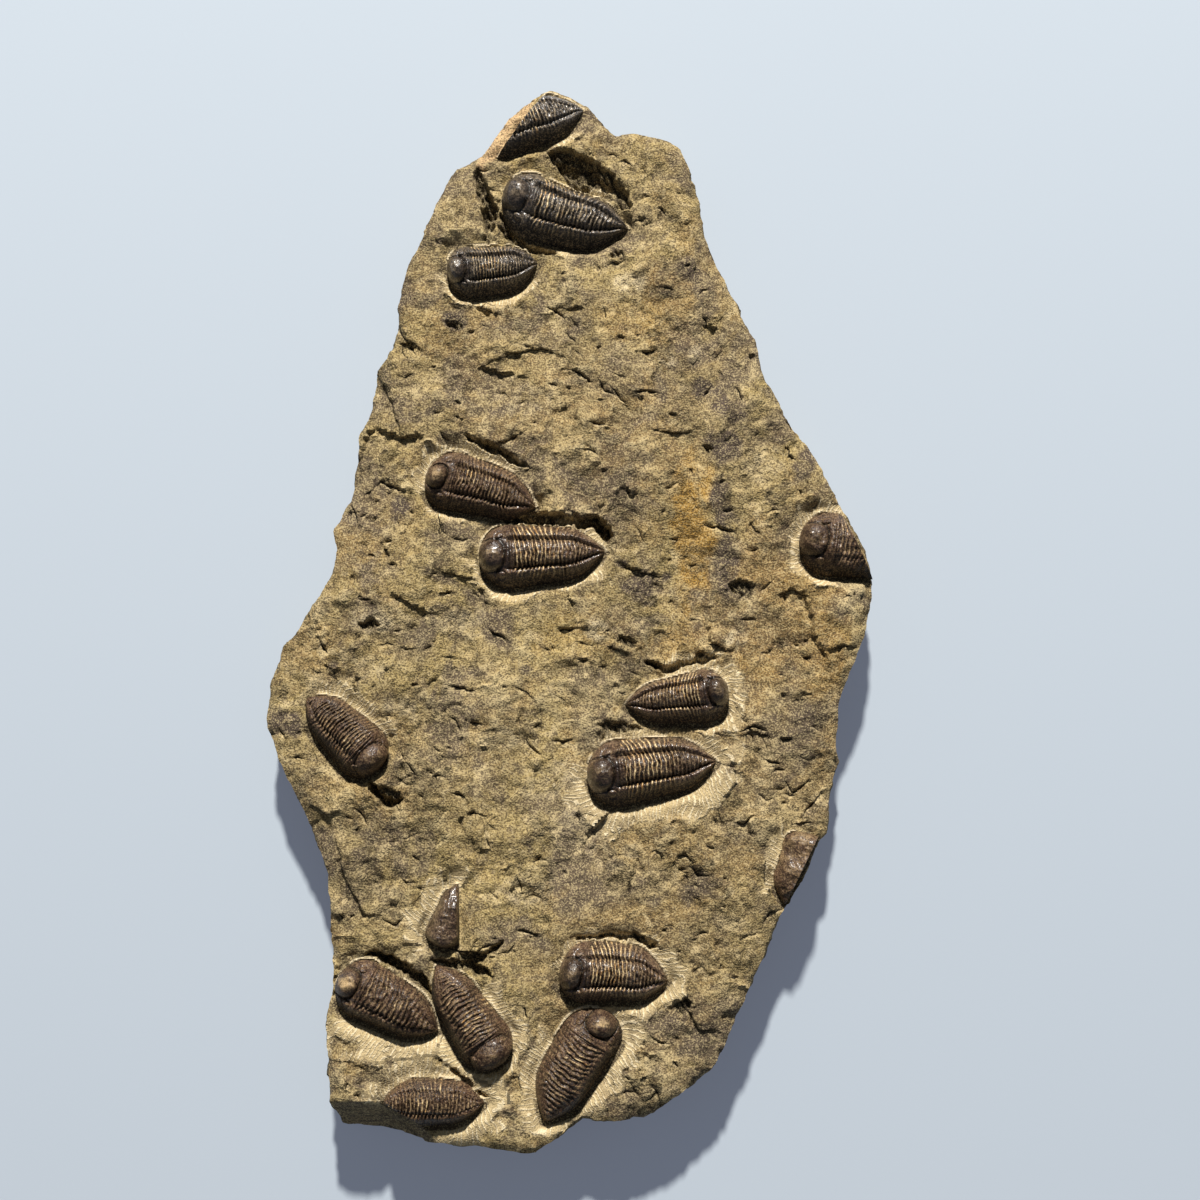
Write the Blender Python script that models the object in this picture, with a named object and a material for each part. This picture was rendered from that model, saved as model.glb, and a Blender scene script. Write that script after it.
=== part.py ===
"""A broken slab of silty sandstone, lying on its back, with sixteen trilobites freed from its face.

Metres, +Z up. The origin is at the middle of the flat underside; +Y runs along the slab and +X
across it. The tables below are in millimetres, and each shape is scaled by MM as it is made.
"""

import math
from collections import namedtuple

import bmesh
import bpy
import numpy as np
from mathutils import Vector, noise
from mathutils.geometry import delaunay_2d_cdt

MM = 0.001

# The slab
FACE = 32.0  # mean height of the face above the underside
SWELL = 2.0  # how far the face heaves up and down
SWELL_SIZE = 55.0
FLAKE = 1.8  # how far the flaked facets of the face tilt and step
FLAKE_SIZE = 34.0
RIM_DROP = 3.6  # how far the face falls away at its broken rim
RIM_REACH = 3.5
RIM_STEP = 12.0  # longest straight piece of the rim
RIM_JITTER = 0.9
SIDE_MIDDLE = 15.0  # height of the ridge round the broken sides
SIDE_ROUGH = 1.6
UNDERCUT = 4.0  # how far the underside lies inside the rim
FACE_STEP = 12.4  # spacing of the points over the open face
HALF_SIZE = (135.0, 239.5)  # the slab reaches this far from the origin in X and Y

# The beds that the fossils lie in
BED = 4.5  # how far a fossil's margin lies below the face
BED_REACH = 8.0  # how far out the prepared hollow runs before it meets the face
GAP = 0.3  # clearance between a fossil and the rock
WALL = 1.6  # width of a chiselled pit's wall

# The trilobites, all on one plan; u runs from the head's front (0) to the tail's tip (1)
HEAD = 0.23
TAIL = 0.62
TAIL_CURVE = 2.2
AXIS = 0.42  # share of the half width that the raised middle lobe takes
SHOULDER = 0.66  # share of the half width where the flank turns down
FURROW = 0.8  # height of the furrow beside the middle lobe, as a share of the crest
SHOULDER_HEIGHT = 0.84
RINGS = 11
RING_START = 0.27
RING_END = 0.68
GLABELLA = 0.125  # where the dome of the head is centred
GLABELLA_RADIUS = 0.21  # as a share of the body's width
ACROSS = (-1.0, -SHOULDER, -AXIS, 0.0, AXIS, SHOULDER, 1.0)
HEAD_STATIONS = (0.0, 0.04, 0.09, 0.15, 0.21, 0.25)
TAIL_STATIONS = (0.73, 0.8, 0.87, 0.94, 1.0)
FOOT_STATIONS = (0.0, 0.06, 0.15, 0.28, 0.45, 0.62, 0.76, 0.87, 0.95, 1.0)

# The rim, corner by corner and clockwise from its highest point
RIM = (
    (-10, 239.5), (-2, 237), (7.5, 231.5), (14, 222.5), (20, 218), (29, 218.5), (45, 214.5), (50, 210), (54, 199),
    (58, 187), (61, 169), (66, 156), (74, 139), (83, 121), (87, 104), (96, 86), (103, 74),
    (107, 70.5), (113, 60), (119.5, 46.5), (125.5, 36.5), (131.5, 22.5), (135, 10.5), (135, 3), (130, -17),
    (128, -22), (122.5, -34), (119, -46), (117.5, -70), (114, -85), (113, -103), (109.5, -105),
    (107.5, -112), (103, -121), (96, -132), (93.5, -134.5), (86, -151), (82, -160), (73, -179.5),
    (66, -197), (59, -206), (46, -216), (32, -223.5), (18, -226), (5, -224), (0, -228), (-6, -233),
    (-15, -239.5), (-38, -236), (-57, -233), (-79, -229), (-102, -226), (-104, -214), (-105, -199),
    (-106.5, -181), (-103.8, -171), (-104, -156), (-105, -137), (-108, -115.5), (-115, -99),
    (-126, -78), (-131, -66), (-135, -56), (-134, -36), (-129, -22), (-119, -7), (-108, 10.5),
    (-105, 24), (-107, 33), (-99.5, 46), (-97, 65), (-96, 76), (-90, 90), (-88, 106), (-81, 117),
    (-79, 127), (-79, 136), (-76, 152), (-68, 169), (-62, 185), (-56, 198), (-42, 208),
    (-29, 226), (-18, 236),
)  # fmt: skip

# x and y of the middle, heading of the head in degrees from +X, size, sideways bend of the middle
# to the left of the heading, lean of the crest to the left for each unit of height, how much
# narrower the body is where the tail begins, depth of the grooves between the rings, and the
# planes along which the slab's edge has broken the body off, each a point and an outward normal.
Fossil = namedtuple("Fossil", "x y heading length width height bend lean taper groove breaks")
FOSSILS = {
    "trilobite_01": Fossil(
        -21.1, 220.4, 199, 56.5, 26.4, 9.5, -3.0, 0.0, 0.1, 0.55, [((-25.6, 221.5), (-0.808, 0.59))]
    ),
    "trilobite_02": Fossil(-2.9, 181.3, 163.5, 60, 31, 12, 3.5, -0.1, 0.15, 0.55, []),
    "trilobite_03": Fossil(-36.2, 154.5, 186, 42, 25, 10, 1.5, 0.0, 0.1, 0.55, []),
    "trilobite_04": Fossil(-41, 50.2, 164, 52, 28, 10, -1.5, 0.0, 0.15, 0.55, []),
    "trilobite_05": Fossil(-13, 21.5, 183, 57, 29.5, 11.5, 0.0, 0.0, 0.14, 0.55, []),
    "trilobite_06": Fossil(
        132, 23.6, 170, 60, 30, 11.5, 0.0, 0.0, 0.2, 0.55, [((126.8, 27.8), (0.909, 0.418))]
    ),
    "trilobite_07": Fossil(47, -43.4, 7, 46.5, 24.5, 10.5, -0.5, 0.15, 0.21, 0.55, []),
    "trilobite_08": Fossil(36, -75, 188, 58, 30, 11.5, -1.0, -0.1, 0.15, 0.55, []),
    "trilobite_09": Fossil(-101.5, -58.6, -44, 46, 25.5, 10, 0.5, 0.1, 0.14, 0.55, []),
    "trilobite_10": Fossil(
        101, -118.6, 63, 32, 21, 8, 0.0, 0.0, 0.2, 0.3, [((101.4, -118.8), (0.894, -0.45))]
    ),
    "trilobite_11": Fossil(
        -53.5, -138.4, 256, 28.5, 17, 7.5, 0.0, 0.0, 0.3, 0.0, [((-49.2, -137), (1.0, 0.0))]
    ),
    "trilobite_12": Fossil(-79.3, -176.3, 152, 49.5, 26.5, 10.5, -0.5, 0.0, 0.16, 0.55, []),
    "trilobite_13": Fossil(-44.7, -180.9, -56, 51, 24.5, 10.5, -0.5, 0.0, 0.14, 0.55, []),
    "trilobite_14": Fossil(19, -165, 177, 48, 27.5, 11, -2.5, 0.0, 0.08, 0.55, []),
    "trilobite_15": Fossil(3, -203.3, 58.4, 54.5, 26.5, 10.5, 2.5, 0.0, 0.08, 0.55, []),
    "trilobite_16": Fossil(
        -58.9, -217.9, 179, 43.8, 22, 9, 0.0, 0.0, 0.1, 0.55, [((-70.9, -223.4), (-0.492, -0.87))]
    ),
}

# Pits chiselled beside the fossils: depth below the face, and the outline of the pit's mouth
PITS = (
    (9.0, ((-32, 38), (-23, 40), (-14, 41), (-1, 40), (12, 40), (17, 35), (19, 28), (16, 25), (9, 33),
           (-1, 34), (-14, 34), (-30, 35))),
    (7.0, ((-10, 205), (-4, 208), (4, 207), (9, 203), (15, 198), (18, 192), (17, 186), (12, 188),
           (3, 190), (-3, 194), (-7, 199))),
    (6.0, ((-40, 190), (-36, 187), (-33, 182), (-33, 177), (-37, 173), (-38, 164), (-41, 168), (-42, 180))),
    (8.0, ((-95, -156), (-86, -153), (-78, -155), (-69, -159), (-61, -168), (-56, -176), (-53, -183),
           (-56, -184), (-62, -174), (-69, -168), (-79, -160), (-89, -156.5))),
    (6.0, ((-62, -157), (-54, -156), (-44, -157), (-35, -161), (-33, -165), (-40, -165), (-48, -163),
           (-58, -161))),
    (8.0, ((-91, -79), (-88, -79), (-84, -85), (-78, -88), (-71, -86), (-76, -91), (-82, -92), (-87, -87))),
    (5.5, ((0, -148), (9, -146), (18, -145), (27, -145), (35, -147), (40, -153), (35, -153), (27, -150),
           (16, -148.5), (6, -150))),
    (4.5, ((-51, 77), (-41, 74), (-33, 71), (-25, 66), (-17, 60), (-23, 61), (-32, 65), (-41, 69))),
    (5.0, ((31, -26), (36, -26), (41, -28), (47, -26), (54, -26), (58, -22), (63, -23), (68, -25),
           (56, -29), (50, -30), (43, -33), (37, -31))),
    (6.0, ((-57, -200), (-51, -203), (-46, -206), (-41, -211), (-35, -216), (-39, -216), (-44, -213),
           (-50, -208))),
)  # fmt: skip

# Edges of flakes: how far the face steps down to the right of the line, and the line
LEDGES = (
    (2.2, ((-50, 138), (-40, 134), (-31, 131))),
    (1.8, ((-43, 106), (-30, 112), (-14, 116), (-6, 113), (2, 108))),
    (1.8, ((-36, 71), (-26, 74), (-20, 78))),
    (2.4, ((-62, 15), (-52, 12), (-42, 9), (-38, -1))),
    (2.4, ((20, 18), (31, 13), (41, 11))),
    (3.0, ((-116, -90), (-108, -94), (-100, -94))),
    (2.6, ((-100, -121), (-94, -131), (-90, -138), (-85, -138))),
    (2.2, ((74, 1), (79, 5), (84, 10))),
    (2.2, ((91, 2), (98, 5), (107, 1))),
    (1.8, ((36, 78), (46, 76), (53, 77), (57, 79))),
    (2.6, ((-88, 105), (-81, 90), (-79, 80), (-76, 75))),
    (2.4, ((-80, 119), (-73, 118), (-67, 114))),
    (2.2, ((113, -22), (121, -20), (128, -21))),
    (1.6, ((16, -20), (22, -22), (27, -24))),
    (2.6, ((37, -179), (46, -174), (52, -180), (56, -187), (66, -189))),
    (2.0, ((74, -60), (81, -58), (89, -61))),
)  # fmt: skip
LEDGE_REACH = 9.0
LEDGE_EDGE = 0.7  # half the width of a flake's edge

# The corner knocked off at the foot of the slab: its upper edge, and how steeply it falls
CORNER = ((-107, -217), (-101, -217.5), (-78, -218), (-71.4, -221), (-64.4, -226), (-60, -230), (-54, -240))
CORNER_SLOPE = 1.7

COLOURS = {
    "matrix_rock": ((0.27, 0.205, 0.11, 1), 0.9),
    "fossil_shell": ((0.055, 0.03, 0.022, 1), 0.42),
}


def smoothstep(x):
    x = np.clip(x, 0, 1)
    return x * x * (3 - 2 * x)


def line_distance(points, line, closed=False):
    """Distance from each point to a line, how far along it is nearest (0 to 1), and its side (+ left)."""
    line = np.array(line, float)
    ends = np.roll(line, -1, axis=0) if closed else line[1:]
    starts = line if closed else line[:-1]
    run = ends - starts
    lengths = np.linalg.norm(run, axis=1)
    gone = np.concatenate([[0], np.cumsum(lengths)])
    offset = points[:, None, :] - starts[None]
    along = np.clip((offset * run).sum(2) / lengths**2, 0, 1)
    away = offset - along[..., None] * run
    distance = np.linalg.norm(away, axis=2)
    nearest = distance.argmin(axis=1)
    rows = np.arange(len(points))
    side = np.sign(run[nearest, 0] * offset[rows, nearest, 1] - run[nearest, 1] * offset[rows, nearest, 0])
    travelled = (gone[nearest] + along[rows, nearest] * lengths[nearest]) / gone[-1]
    return distance[rows, nearest], travelled, side


def signed_distance(points, outline):
    """Distance from each point to a closed outline, negative inside it."""
    distance = line_distance(points, outline, closed=True)[0]
    outline = np.array(outline, float)
    (x0, y0), (x1, y1) = outline.T, np.roll(outline, -1, axis=0).T
    x, y = points[:, :1], points[:, 1:]
    rise = np.where(y1 == y0, 1e-9, y1 - y0)
    crossed = ((y0 > y) != (y1 > y)) & (x < (x1 - x0) * (y - y0) / rise + x0)
    return np.where(crossed.sum(axis=1) % 2 == 1, -distance, distance)


def rough(x, y, size, seed):
    """Smooth noise from -1 to 1."""
    return noise.noise(Vector((x / size, y / size, seed)))


def flaked(x, y):
    """Height of a face broken into tilted facets that meet in small steps."""
    at = Vector((x, y, 0)) / FLAKE_SIZE
    at += 0.35 * Vector((rough(x, y, 20, 3.1), rough(x, y, 20, 7.7), 0))
    middle = noise.voronoi(at + Vector((0, 0, 4.5)))[1][0]
    tilt = noise.cell_vector(middle * 3.7)
    lean_x, lean_y = tilt.x - 0.5, tilt.y - 0.5
    return 2 * lean_x * (at.x - middle.x) + 2 * lean_y * (at.y - middle.y) + 0.6 * (tilt.z - 0.5)


# --- the trilobites' common plan ---


def half_width(fossil, u):
    """Half the body's width at u, mm."""
    if u < HEAD:
        share = math.sqrt(max(0.0, 1 - (1 - u / HEAD) ** 2))
    elif u < TAIL:
        share = 1 - fossil.taper * (u - HEAD) / (TAIL - HEAD)
    else:
        share = (1 - fossil.taper) * (1 - ((u - TAIL) / (1 - TAIL)) ** TAIL_CURVE)
    return share * fossil.width / 2


def crest(u):
    """Height of the body along its middle, as a share of its greatest."""
    if u < 0.12:
        return math.sqrt(max(0.0, 1 - (1 - u / 0.12) ** 2))
    return 1.0 if u < 0.55 else 1 - 0.72 * ((u - 0.55) / 0.45) ** 1.8


def vault(t):
    """Height across the body: a raised middle lobe, a furrow on each side of it, and steep flanks."""
    t = abs(t)
    if t < AXIS:
        return FURROW + (1 - FURROW) * math.sqrt(1 - (t / AXIS) ** 2)
    if t < SHOULDER:
        return FURROW + (SHOULDER_HEIGHT - FURROW) * (t - AXIS) / (SHOULDER - AXIS)
    return SHOULDER_HEIGHT * math.sqrt(max(0.0, 1 - ((t - SHOULDER) / (1 - SHOULDER)) ** 2))


def shell_height(fossil, u, t):
    """Height of the shell above the fossil's flat base, mm."""
    if t in (-1.0, 1.0) or u in (0.0, 1.0):
        return 0.0
    height = fossil.height * crest(u) * vault(t)
    if u < RING_START:
        across = t * half_width(fossil, u)
        radius = math.hypot((u - GLABELLA) * fossil.length, across) / (GLABELLA_RADIUS * fossil.width)
        cheek = fossil.height * 0.74 * crest(u) * math.sqrt(1 - t * t)
        dome = fossil.height * (0.5 + 0.56 * math.sqrt(1 - min(radius, 1) ** 2)) if radius < 1 else 0
        return max(cheek, dome)
    if u <= RING_END:
        ring = (u - RING_START) / (RING_END - RING_START) * RINGS
        height -= fossil.groove * (0.5 + 0.5 * math.cos(2 * math.pi * ring))
    return height


def place(fossil, u, t, height):
    """World place of a point of the body, mm, with the body bent and leaning as this one is."""
    along = fossil.length * (0.5 - u)
    across = t * half_width(fossil, u) + fossil.bend * (1 - (2 * u - 1) ** 2)
    across += fossil.lean * height
    turn = math.radians(fossil.heading)
    x = fossil.x + along * math.cos(turn) - across * math.sin(turn)
    y = fossil.y + along * math.sin(turn) + across * math.cos(turn)
    return x, y, FACE - BED + height


def clipped(outline, breaks):
    """A convex-sided outline with everything beyond the break planes cut away."""
    for (px, py), (nx, ny) in breaks:
        beyond = [(x - px) * nx + (y - py) * ny for x, y in outline]
        kept = []
        for i, (here, there) in enumerate(zip(beyond, beyond[1:] + beyond[:1])):
            if here <= 0:
                kept.append(outline[i])
            if here * there < 0:
                (x0, y0), (x1, y1) = outline[i], outline[(i + 1) % len(outline)]
                share = here / (here - there)
                kept.append((x0 + share * (x1 - x0), y0 + share * (y1 - y0)))
        outline = kept
    return outline


def footprint(fossil, grow=0.0):
    """Outline of the fossil's base, grown outwards by so many mm."""
    grown = fossil._replace(length=fossil.length + 2 * grow, width=fossil.width + 2 * grow)
    left = [place(grown, u, 1, 0)[:2] for u in FOOT_STATIONS]
    right = [place(grown, u, -1, 0)[:2] for u in reversed(FOOT_STATIONS[1:-1])]
    breaks = [((x + grow * nx, y + grow * ny), (nx, ny)) for (x, y), (nx, ny) in fossil.breaks]
    return clipped(left + right, breaks)


# --- the rock ---


def rim_points():
    """The rim's corners, with its long runs broken into shorter, uneven ones."""
    points = []
    for (x0, y0), (x1, y1) in zip(RIM, RIM[1:] + RIM[:1]):
        pieces = math.ceil(math.dist((x0, y0), (x1, y1)) / RIM_STEP)
        for i in range(pieces):
            x, y = x0 + (x1 - x0) * i / pieces, y0 + (y1 - y0) * i / pieces
            if i:
                x += RIM_JITTER * rough(x, y, 9, 1.3)
                y += RIM_JITTER * rough(x, y, 9, 8.3)
            points.append((x, y))
    return points


def rock_height(points):
    """Height of the rock's face at each point, mm."""
    z = np.array([FACE + SWELL * rough(x, y, SWELL_SIZE, 0.5) + FLAKE * flaked(x, y) for x, y in points])
    inside = -signed_distance(points, RIM)
    z -= RIM_DROP * np.exp(-np.maximum(inside, 0) / RIM_REACH)
    for drop, line in LEDGES:
        distance, along, side = line_distance(points, line)
        fade = np.sin(np.pi * along) ** 0.5 * np.exp(-((distance / LEDGE_REACH) ** 2))
        z -= drop * fade * smoothstep(0.5 - side * distance / (2 * LEDGE_EDGE))
    for depth, mouth in PITS:
        sunk = smoothstep(-signed_distance(points, mouth) / WALL)
        z = np.minimum(z, z * (1 - sunk) + (FACE - depth) * sunk)
    for fossil in FOSSILS.values():
        out = signed_distance(points, footprint(fossil))
        rise = smoothstep((out - 2 * GAP) / BED_REACH)
        z = np.minimum(z, (FACE - BED - GAP) * (1 - rise) + z * rise)
    beyond, _, side = line_distance(points, CORNER)
    z = np.where(side < 0, np.minimum(z, FACE - 1 - CORNER_SLOPE * beyond), z)
    for fossil in FOSSILS.values():
        z = np.where(signed_distance(points, footprint(fossil)) < 3 * GAP, FACE - BED - GAP, z)
    return z


def face_layout():
    """Plan of the face's points, and the edges that its triangles must keep."""
    rim = rim_points()
    points, edges = list(rim), []

    def far_enough(candidates, spacing, edge_room):
        taken = np.array(points)
        inside = -signed_distance(np.array(candidates, float), rim)
        room = [np.hypot(*(taken - p).T).min() for p in candidates]
        return [r > spacing and i > edge_room for r, i in zip(room, inside)]

    def add_line(line, closed, spacing=1.2):
        keep = far_enough(line, spacing, 1.2)
        first = len(points)
        numbers = {}
        for i, (point, wanted) in enumerate(zip(line, keep)):
            if wanted:
                numbers[i] = len(points)
                points.append(point)
        for i in range(len(line) if closed else len(line) - 1):
            after = (i + 1) % len(line)
            if i in numbers and after in numbers:
                edges.append((numbers[i], numbers[after]))
        return first

    for fossil in FOSSILS.values():
        add_line(footprint(fossil, 2 * GAP), closed=True, spacing=0.9)
    for fossil in FOSSILS.values():
        add_line(footprint(fossil, 3.5)[::2], closed=False, spacing=2.4)
    for _, mouth in PITS:
        add_line(mouth, closed=True, spacing=1.6)
        middle = np.mean(mouth, axis=0)
        floor = [tuple(np.array(p) + (middle - p) * WALL / max(math.dist(p, middle), 4)) for p in mouth]
        add_line(floor, closed=True, spacing=1.0)
    for _, line in LEDGES:
        for offset in (-LEDGE_EDGE, LEDGE_EDGE):
            add_line([(x + offset, y + offset) for x, y in line], closed=False, spacing=1.1)
    add_line(CORNER[1:-1], closed=False)
    shrunk = [(x - 6 * x / math.hypot(x, y), y - 6 * y / math.hypot(x, y)) for x, y in rim]
    add_line(shrunk, closed=False, spacing=4.5)

    rows = int(2 * HALF_SIZE[1] / (FACE_STEP * 0.866))
    columns = int(2 * HALF_SIZE[0] / FACE_STEP)
    prints = [footprint(fossil) for fossil in FOSSILS.values()]
    for row in range(rows):
        for column in range(columns):
            x = -HALF_SIZE[0] + FACE_STEP * (column + 0.5 * (row % 2))
            y = -HALF_SIZE[1] + FACE_STEP * 0.866 * row
            x += 0.25 * FACE_STEP * rough(x, y, 5, 2.2)
            y += 0.25 * FACE_STEP * rough(x, y, 5, 6.6)
            here = np.array([(x, y)])
            buried = any(signed_distance(here, outline)[0] < 0 for outline in prints)
            if not buried and far_enough([(x, y)], 0.45 * FACE_STEP, 2.5)[0]:
                points.append((x, y))
    return points, edges, len(rim)


def link(mesh_name, bm, slot, collection):
    mesh = bpy.data.meshes.new(mesh_name)
    bm.to_mesh(mesh)
    bm.free()
    mesh.materials.append(bpy.data.materials[slot])
    obj = bpy.data.objects.new(mesh_name, mesh)
    collection.objects.link(obj)
    return obj


def fill_open_side(bm):
    """Closes the one open loop of edges with triangles."""
    loop = [edge for edge in bm.edges if edge.is_boundary]
    bmesh.ops.contextual_create(bm, geom=loop)
    bmesh.ops.triangulate(bm, faces=bm.faces)
    bmesh.ops.recalc_face_normals(bm, faces=bm.faces)


def slab_skirt(bm, offsets, height):
    """Extrudes the slab's open edge down to a ring at this height, moved out by each offset."""
    loop = [edge for edge in bm.edges if edge.is_boundary]
    corners = {}
    for edge in loop:
        face_middle = edge.link_faces[0].calc_center_median()
        out = Vector((edge.verts[1].co.y - edge.verts[0].co.y, edge.verts[0].co.x - edge.verts[1].co.x, 0))
        if out.dot(edge.verts[0].co - face_middle) < 0:
            out.negate()
        for vert in edge.verts:
            corners[vert] = corners.get(vert, Vector()) + out.normalized()
    plan = {tuple(vert.co.xy.freeze()): (vert, out.normalized()) for vert, out in corners.items()}
    new = bmesh.ops.extrude_edge_only(bm, edges=loop)["geom"]
    for vert in (item for item in new if isinstance(item, bmesh.types.BMVert)):
        out = plan[tuple(vert.co.xy)][1]
        x, y = (vert.co.xy + out.xy * offsets(vert.co.x, vert.co.y)).to_tuple()
        reach_x, reach_y = HALF_SIZE
        vert.co = (min(max(x, -reach_x), reach_x), min(max(y, -reach_y), reach_y), height)


def make_slab(collection):
    points, edges, rim_count = face_layout()
    flat, _, triangles, *_ = delaunay_2d_cdt(
        [Vector(p) for p in points], edges, [list(range(rim_count))], 1, 1e-4
    )
    plan = np.array([tuple(v) for v in flat])
    heights = rock_height(plan)
    bm = bmesh.new()
    verts = [bm.verts.new((x, y, z)) for (x, y), z in zip(plan, heights)]
    for triangle in triangles:
        bm.faces.new([verts[i] for i in triangle])
    bmesh.ops.recalc_face_normals(bm, faces=bm.faces)
    slab_skirt(bm, lambda x, y: SIDE_ROUGH * (rough(x, y, 17, 5.5) - 0.3), SIDE_MIDDLE)
    slab_skirt(bm, lambda x, y: -UNDERCUT * (0.8 + 0.4 * rough(x, y, 23, 9.1)), 0)
    fill_open_side(bm)
    bmesh.ops.scale(bm, vec=(MM, MM, MM), verts=bm.verts)
    return link("rock_slab", bm, "matrix_rock", collection)


def make_trilobite(name, fossil, collection):
    pitch = (RING_END - RING_START) / RINGS / 2
    stations = list(HEAD_STATIONS) + [RING_START + pitch * i for i in range(2 * RINGS + 1)]
    stations += TAIL_STATIONS
    bm = bmesh.new()
    bmesh.ops.create_grid(bm, x_segments=len(stations) - 1, y_segments=len(ACROSS) - 1, size=1)
    columns = {x: i for i, x in enumerate(sorted({round(v.co.x, 4) for v in bm.verts}))}
    rows = {y: i for i, y in enumerate(sorted({round(v.co.y, 4) for v in bm.verts}))}
    for vert in bm.verts:
        u, t = stations[columns[round(vert.co.x, 4)]], ACROSS[rows[round(vert.co.y, 4)]]
        vert.co = place(fossil, u, t, shell_height(fossil, u, t))
    bmesh.ops.remove_doubles(bm, verts=bm.verts, dist=0.001)
    fill_open_side(bm)
    for (x, y), (nx, ny) in fossil.breaks:
        cut = bmesh.ops.bisect_plane(
            bm,
            geom=bm.verts[:] + bm.edges[:] + bm.faces[:],
            dist=0.01,
            plane_co=(x, y, FACE),
            plane_no=(nx, ny, 0.12),
            clear_outer=True,
        )
        bmesh.ops.contextual_create(bm, geom=[e for e in cut["geom_cut"] if isinstance(e, bmesh.types.BMEdge)])
    bmesh.ops.triangulate(bm, faces=bm.faces)
    bmesh.ops.recalc_face_normals(bm, faces=bm.faces)
    bmesh.ops.scale(bm, vec=(MM, MM, MM), verts=bm.verts)
    return link(name, bm, "fossil_shell", collection)


def make_materials():
    for name, (colour, roughness) in COLOURS.items():
        material = bpy.data.materials.new(name)
        material.use_nodes = True
        shader = material.node_tree.nodes["Principled BSDF"]
        shader.inputs["Base Color"].default_value = colour
        shader.inputs["Roughness"].default_value = roughness
        shader.inputs["Metallic"].default_value = 0


def main():
    for obj in list(bpy.data.objects):
        bpy.data.objects.remove(obj)
    collection = bpy.data.collections.new("fossil_trilobite_slab")
    bpy.context.scene.collection.children.link(collection)
    make_materials()
    slab = make_slab(collection)
    print("slab triangles", len(slab.data.polygons))
    for name, fossil in FOSSILS.items():
        shell = make_trilobite(name, fossil, collection)
        print(name, len(shell.data.polygons))


main()
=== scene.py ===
"""A broken slab of sandstone, lying on its back, with sixteen trilobites freed from its face.

The rock and the shells are shaped in millimetres and brought down to metres at the end.
"""

import math
import random
from collections import namedtuple

import bpy
import numpy as np
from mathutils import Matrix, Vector, noise


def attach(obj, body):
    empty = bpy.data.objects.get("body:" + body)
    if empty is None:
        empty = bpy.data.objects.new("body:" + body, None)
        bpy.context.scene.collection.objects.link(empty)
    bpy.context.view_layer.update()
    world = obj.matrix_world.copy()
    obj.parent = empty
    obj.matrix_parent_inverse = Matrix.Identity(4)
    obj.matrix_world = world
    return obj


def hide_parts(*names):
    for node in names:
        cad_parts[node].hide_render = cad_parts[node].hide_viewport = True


MM = 0.001

# The slab, its beds and its broken rim, in millimetres and nearly as in the solid
FACE = 32.0
SWELL = 2.0
SWELL_SIZE = 55.0
FLAKE = 1.8
FLAKE_SIZE = 34.0
RIM_DROP = 3.6
RIM_REACH = 3.5
SIDE_MIDDLE = 15.0
SIDE_ROUGH = 1.6
UNDERCUT = 4.0
HALF_SIZE = (135.0, 239.5)
BED = 4.5
BED_REACH = 8.0
GAP = 0.3
WALL = 1.6
LEDGE_REACH = 9.0
LEDGE_EDGE = 0.7
CORNER_SLOPE = 1.7

# The fine relief that the tools left and the weather made
CELL_MERGE = 0.3  # border points closer than this become one
SLIVER = 0.02  # and faces thinner than this go
CELL = 1.4  # spacing of the rock's points; half of this beside fossils, cracks and pits
FINE_BAND = 4.2
BED_LIFT = 1.9  # the rock left clinging to the shells stands this much above the solid's bed
RIM_JAG = 1.0  # how far the small jags of the rim stand in and out
SIDE_ROWS = 14  # rings of points down the broken sides
EDGE_BAND = 1.45  # how far from a crack or a ledge the points stand closer
ROCK_CREASE = 42  # sharpest fold, in degrees, that is still shaded smooth
SHELL_CREASE = 60
STROKE_PITCH = 1.8  # the chisel's strokes round a fossil
STROKE_WIDTH = 0.62
STROKE_DEPTH = 0.22
LIP = 0.7  # a thin lip of rock stands against the shells' upper sides
CRACK_DROP = 0.9  # a crack's far side stands this much lower
CRACK_REACH = 5.0
CRACK_DEPTH = 1.2
CRACK_WIDTH = 0.6
SMALL_FLAKES = 300
CLEAR_OF_RIM = 5  # the small flakes keep this far off the rim and the fossils
CLEAR_OF_FOSSILS = 4
FAR = 3.0  # a crack has no effect beyond this
NO_STROKES = 30.0  # nor have the strokes round a fossil beyond this
PAST_SOLID = 0.8  # the rock stands no further than this outside the solid's box

# The trilobites' plan; u runs from the head's front (0) to the tail's tip (1)
HEAD = 0.23
TAIL = 0.62
TAIL_CURVE = 2.2
AXIS = 0.42
SHOULDER = 0.58
FURROW = 0.93  # less a third of how deeply the shell is grooved and cleft
SHOULDER_HEIGHT = 0.8
TALLEST = 12.3  # mm; the other shells are worn free a little taller than their solids
HEIGHTEN = 1.12
GLABELLA = 0.125
GLABELLA_LONG = 0.145
GLABELLA_WIDE = 0.295
RING_START = 0.28
RING_PITCH = 0.0325
PYGIDIUM = 0.73
SHELL_ALONG = 280
SHELL_ACROSS = 80
HEAD_ROWS = 0.3  # share of the rows along a shell that its head has
EDGE_ROWS = 0.46  # how strongly the rows crowd towards its edges, up to a half
BLUNTNESS = 0.42  # where a shell has lost its head, its front narrows over this much of its length
SHELL_SKIRT = 1.2  # the shells reach this far down into their beds

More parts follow.
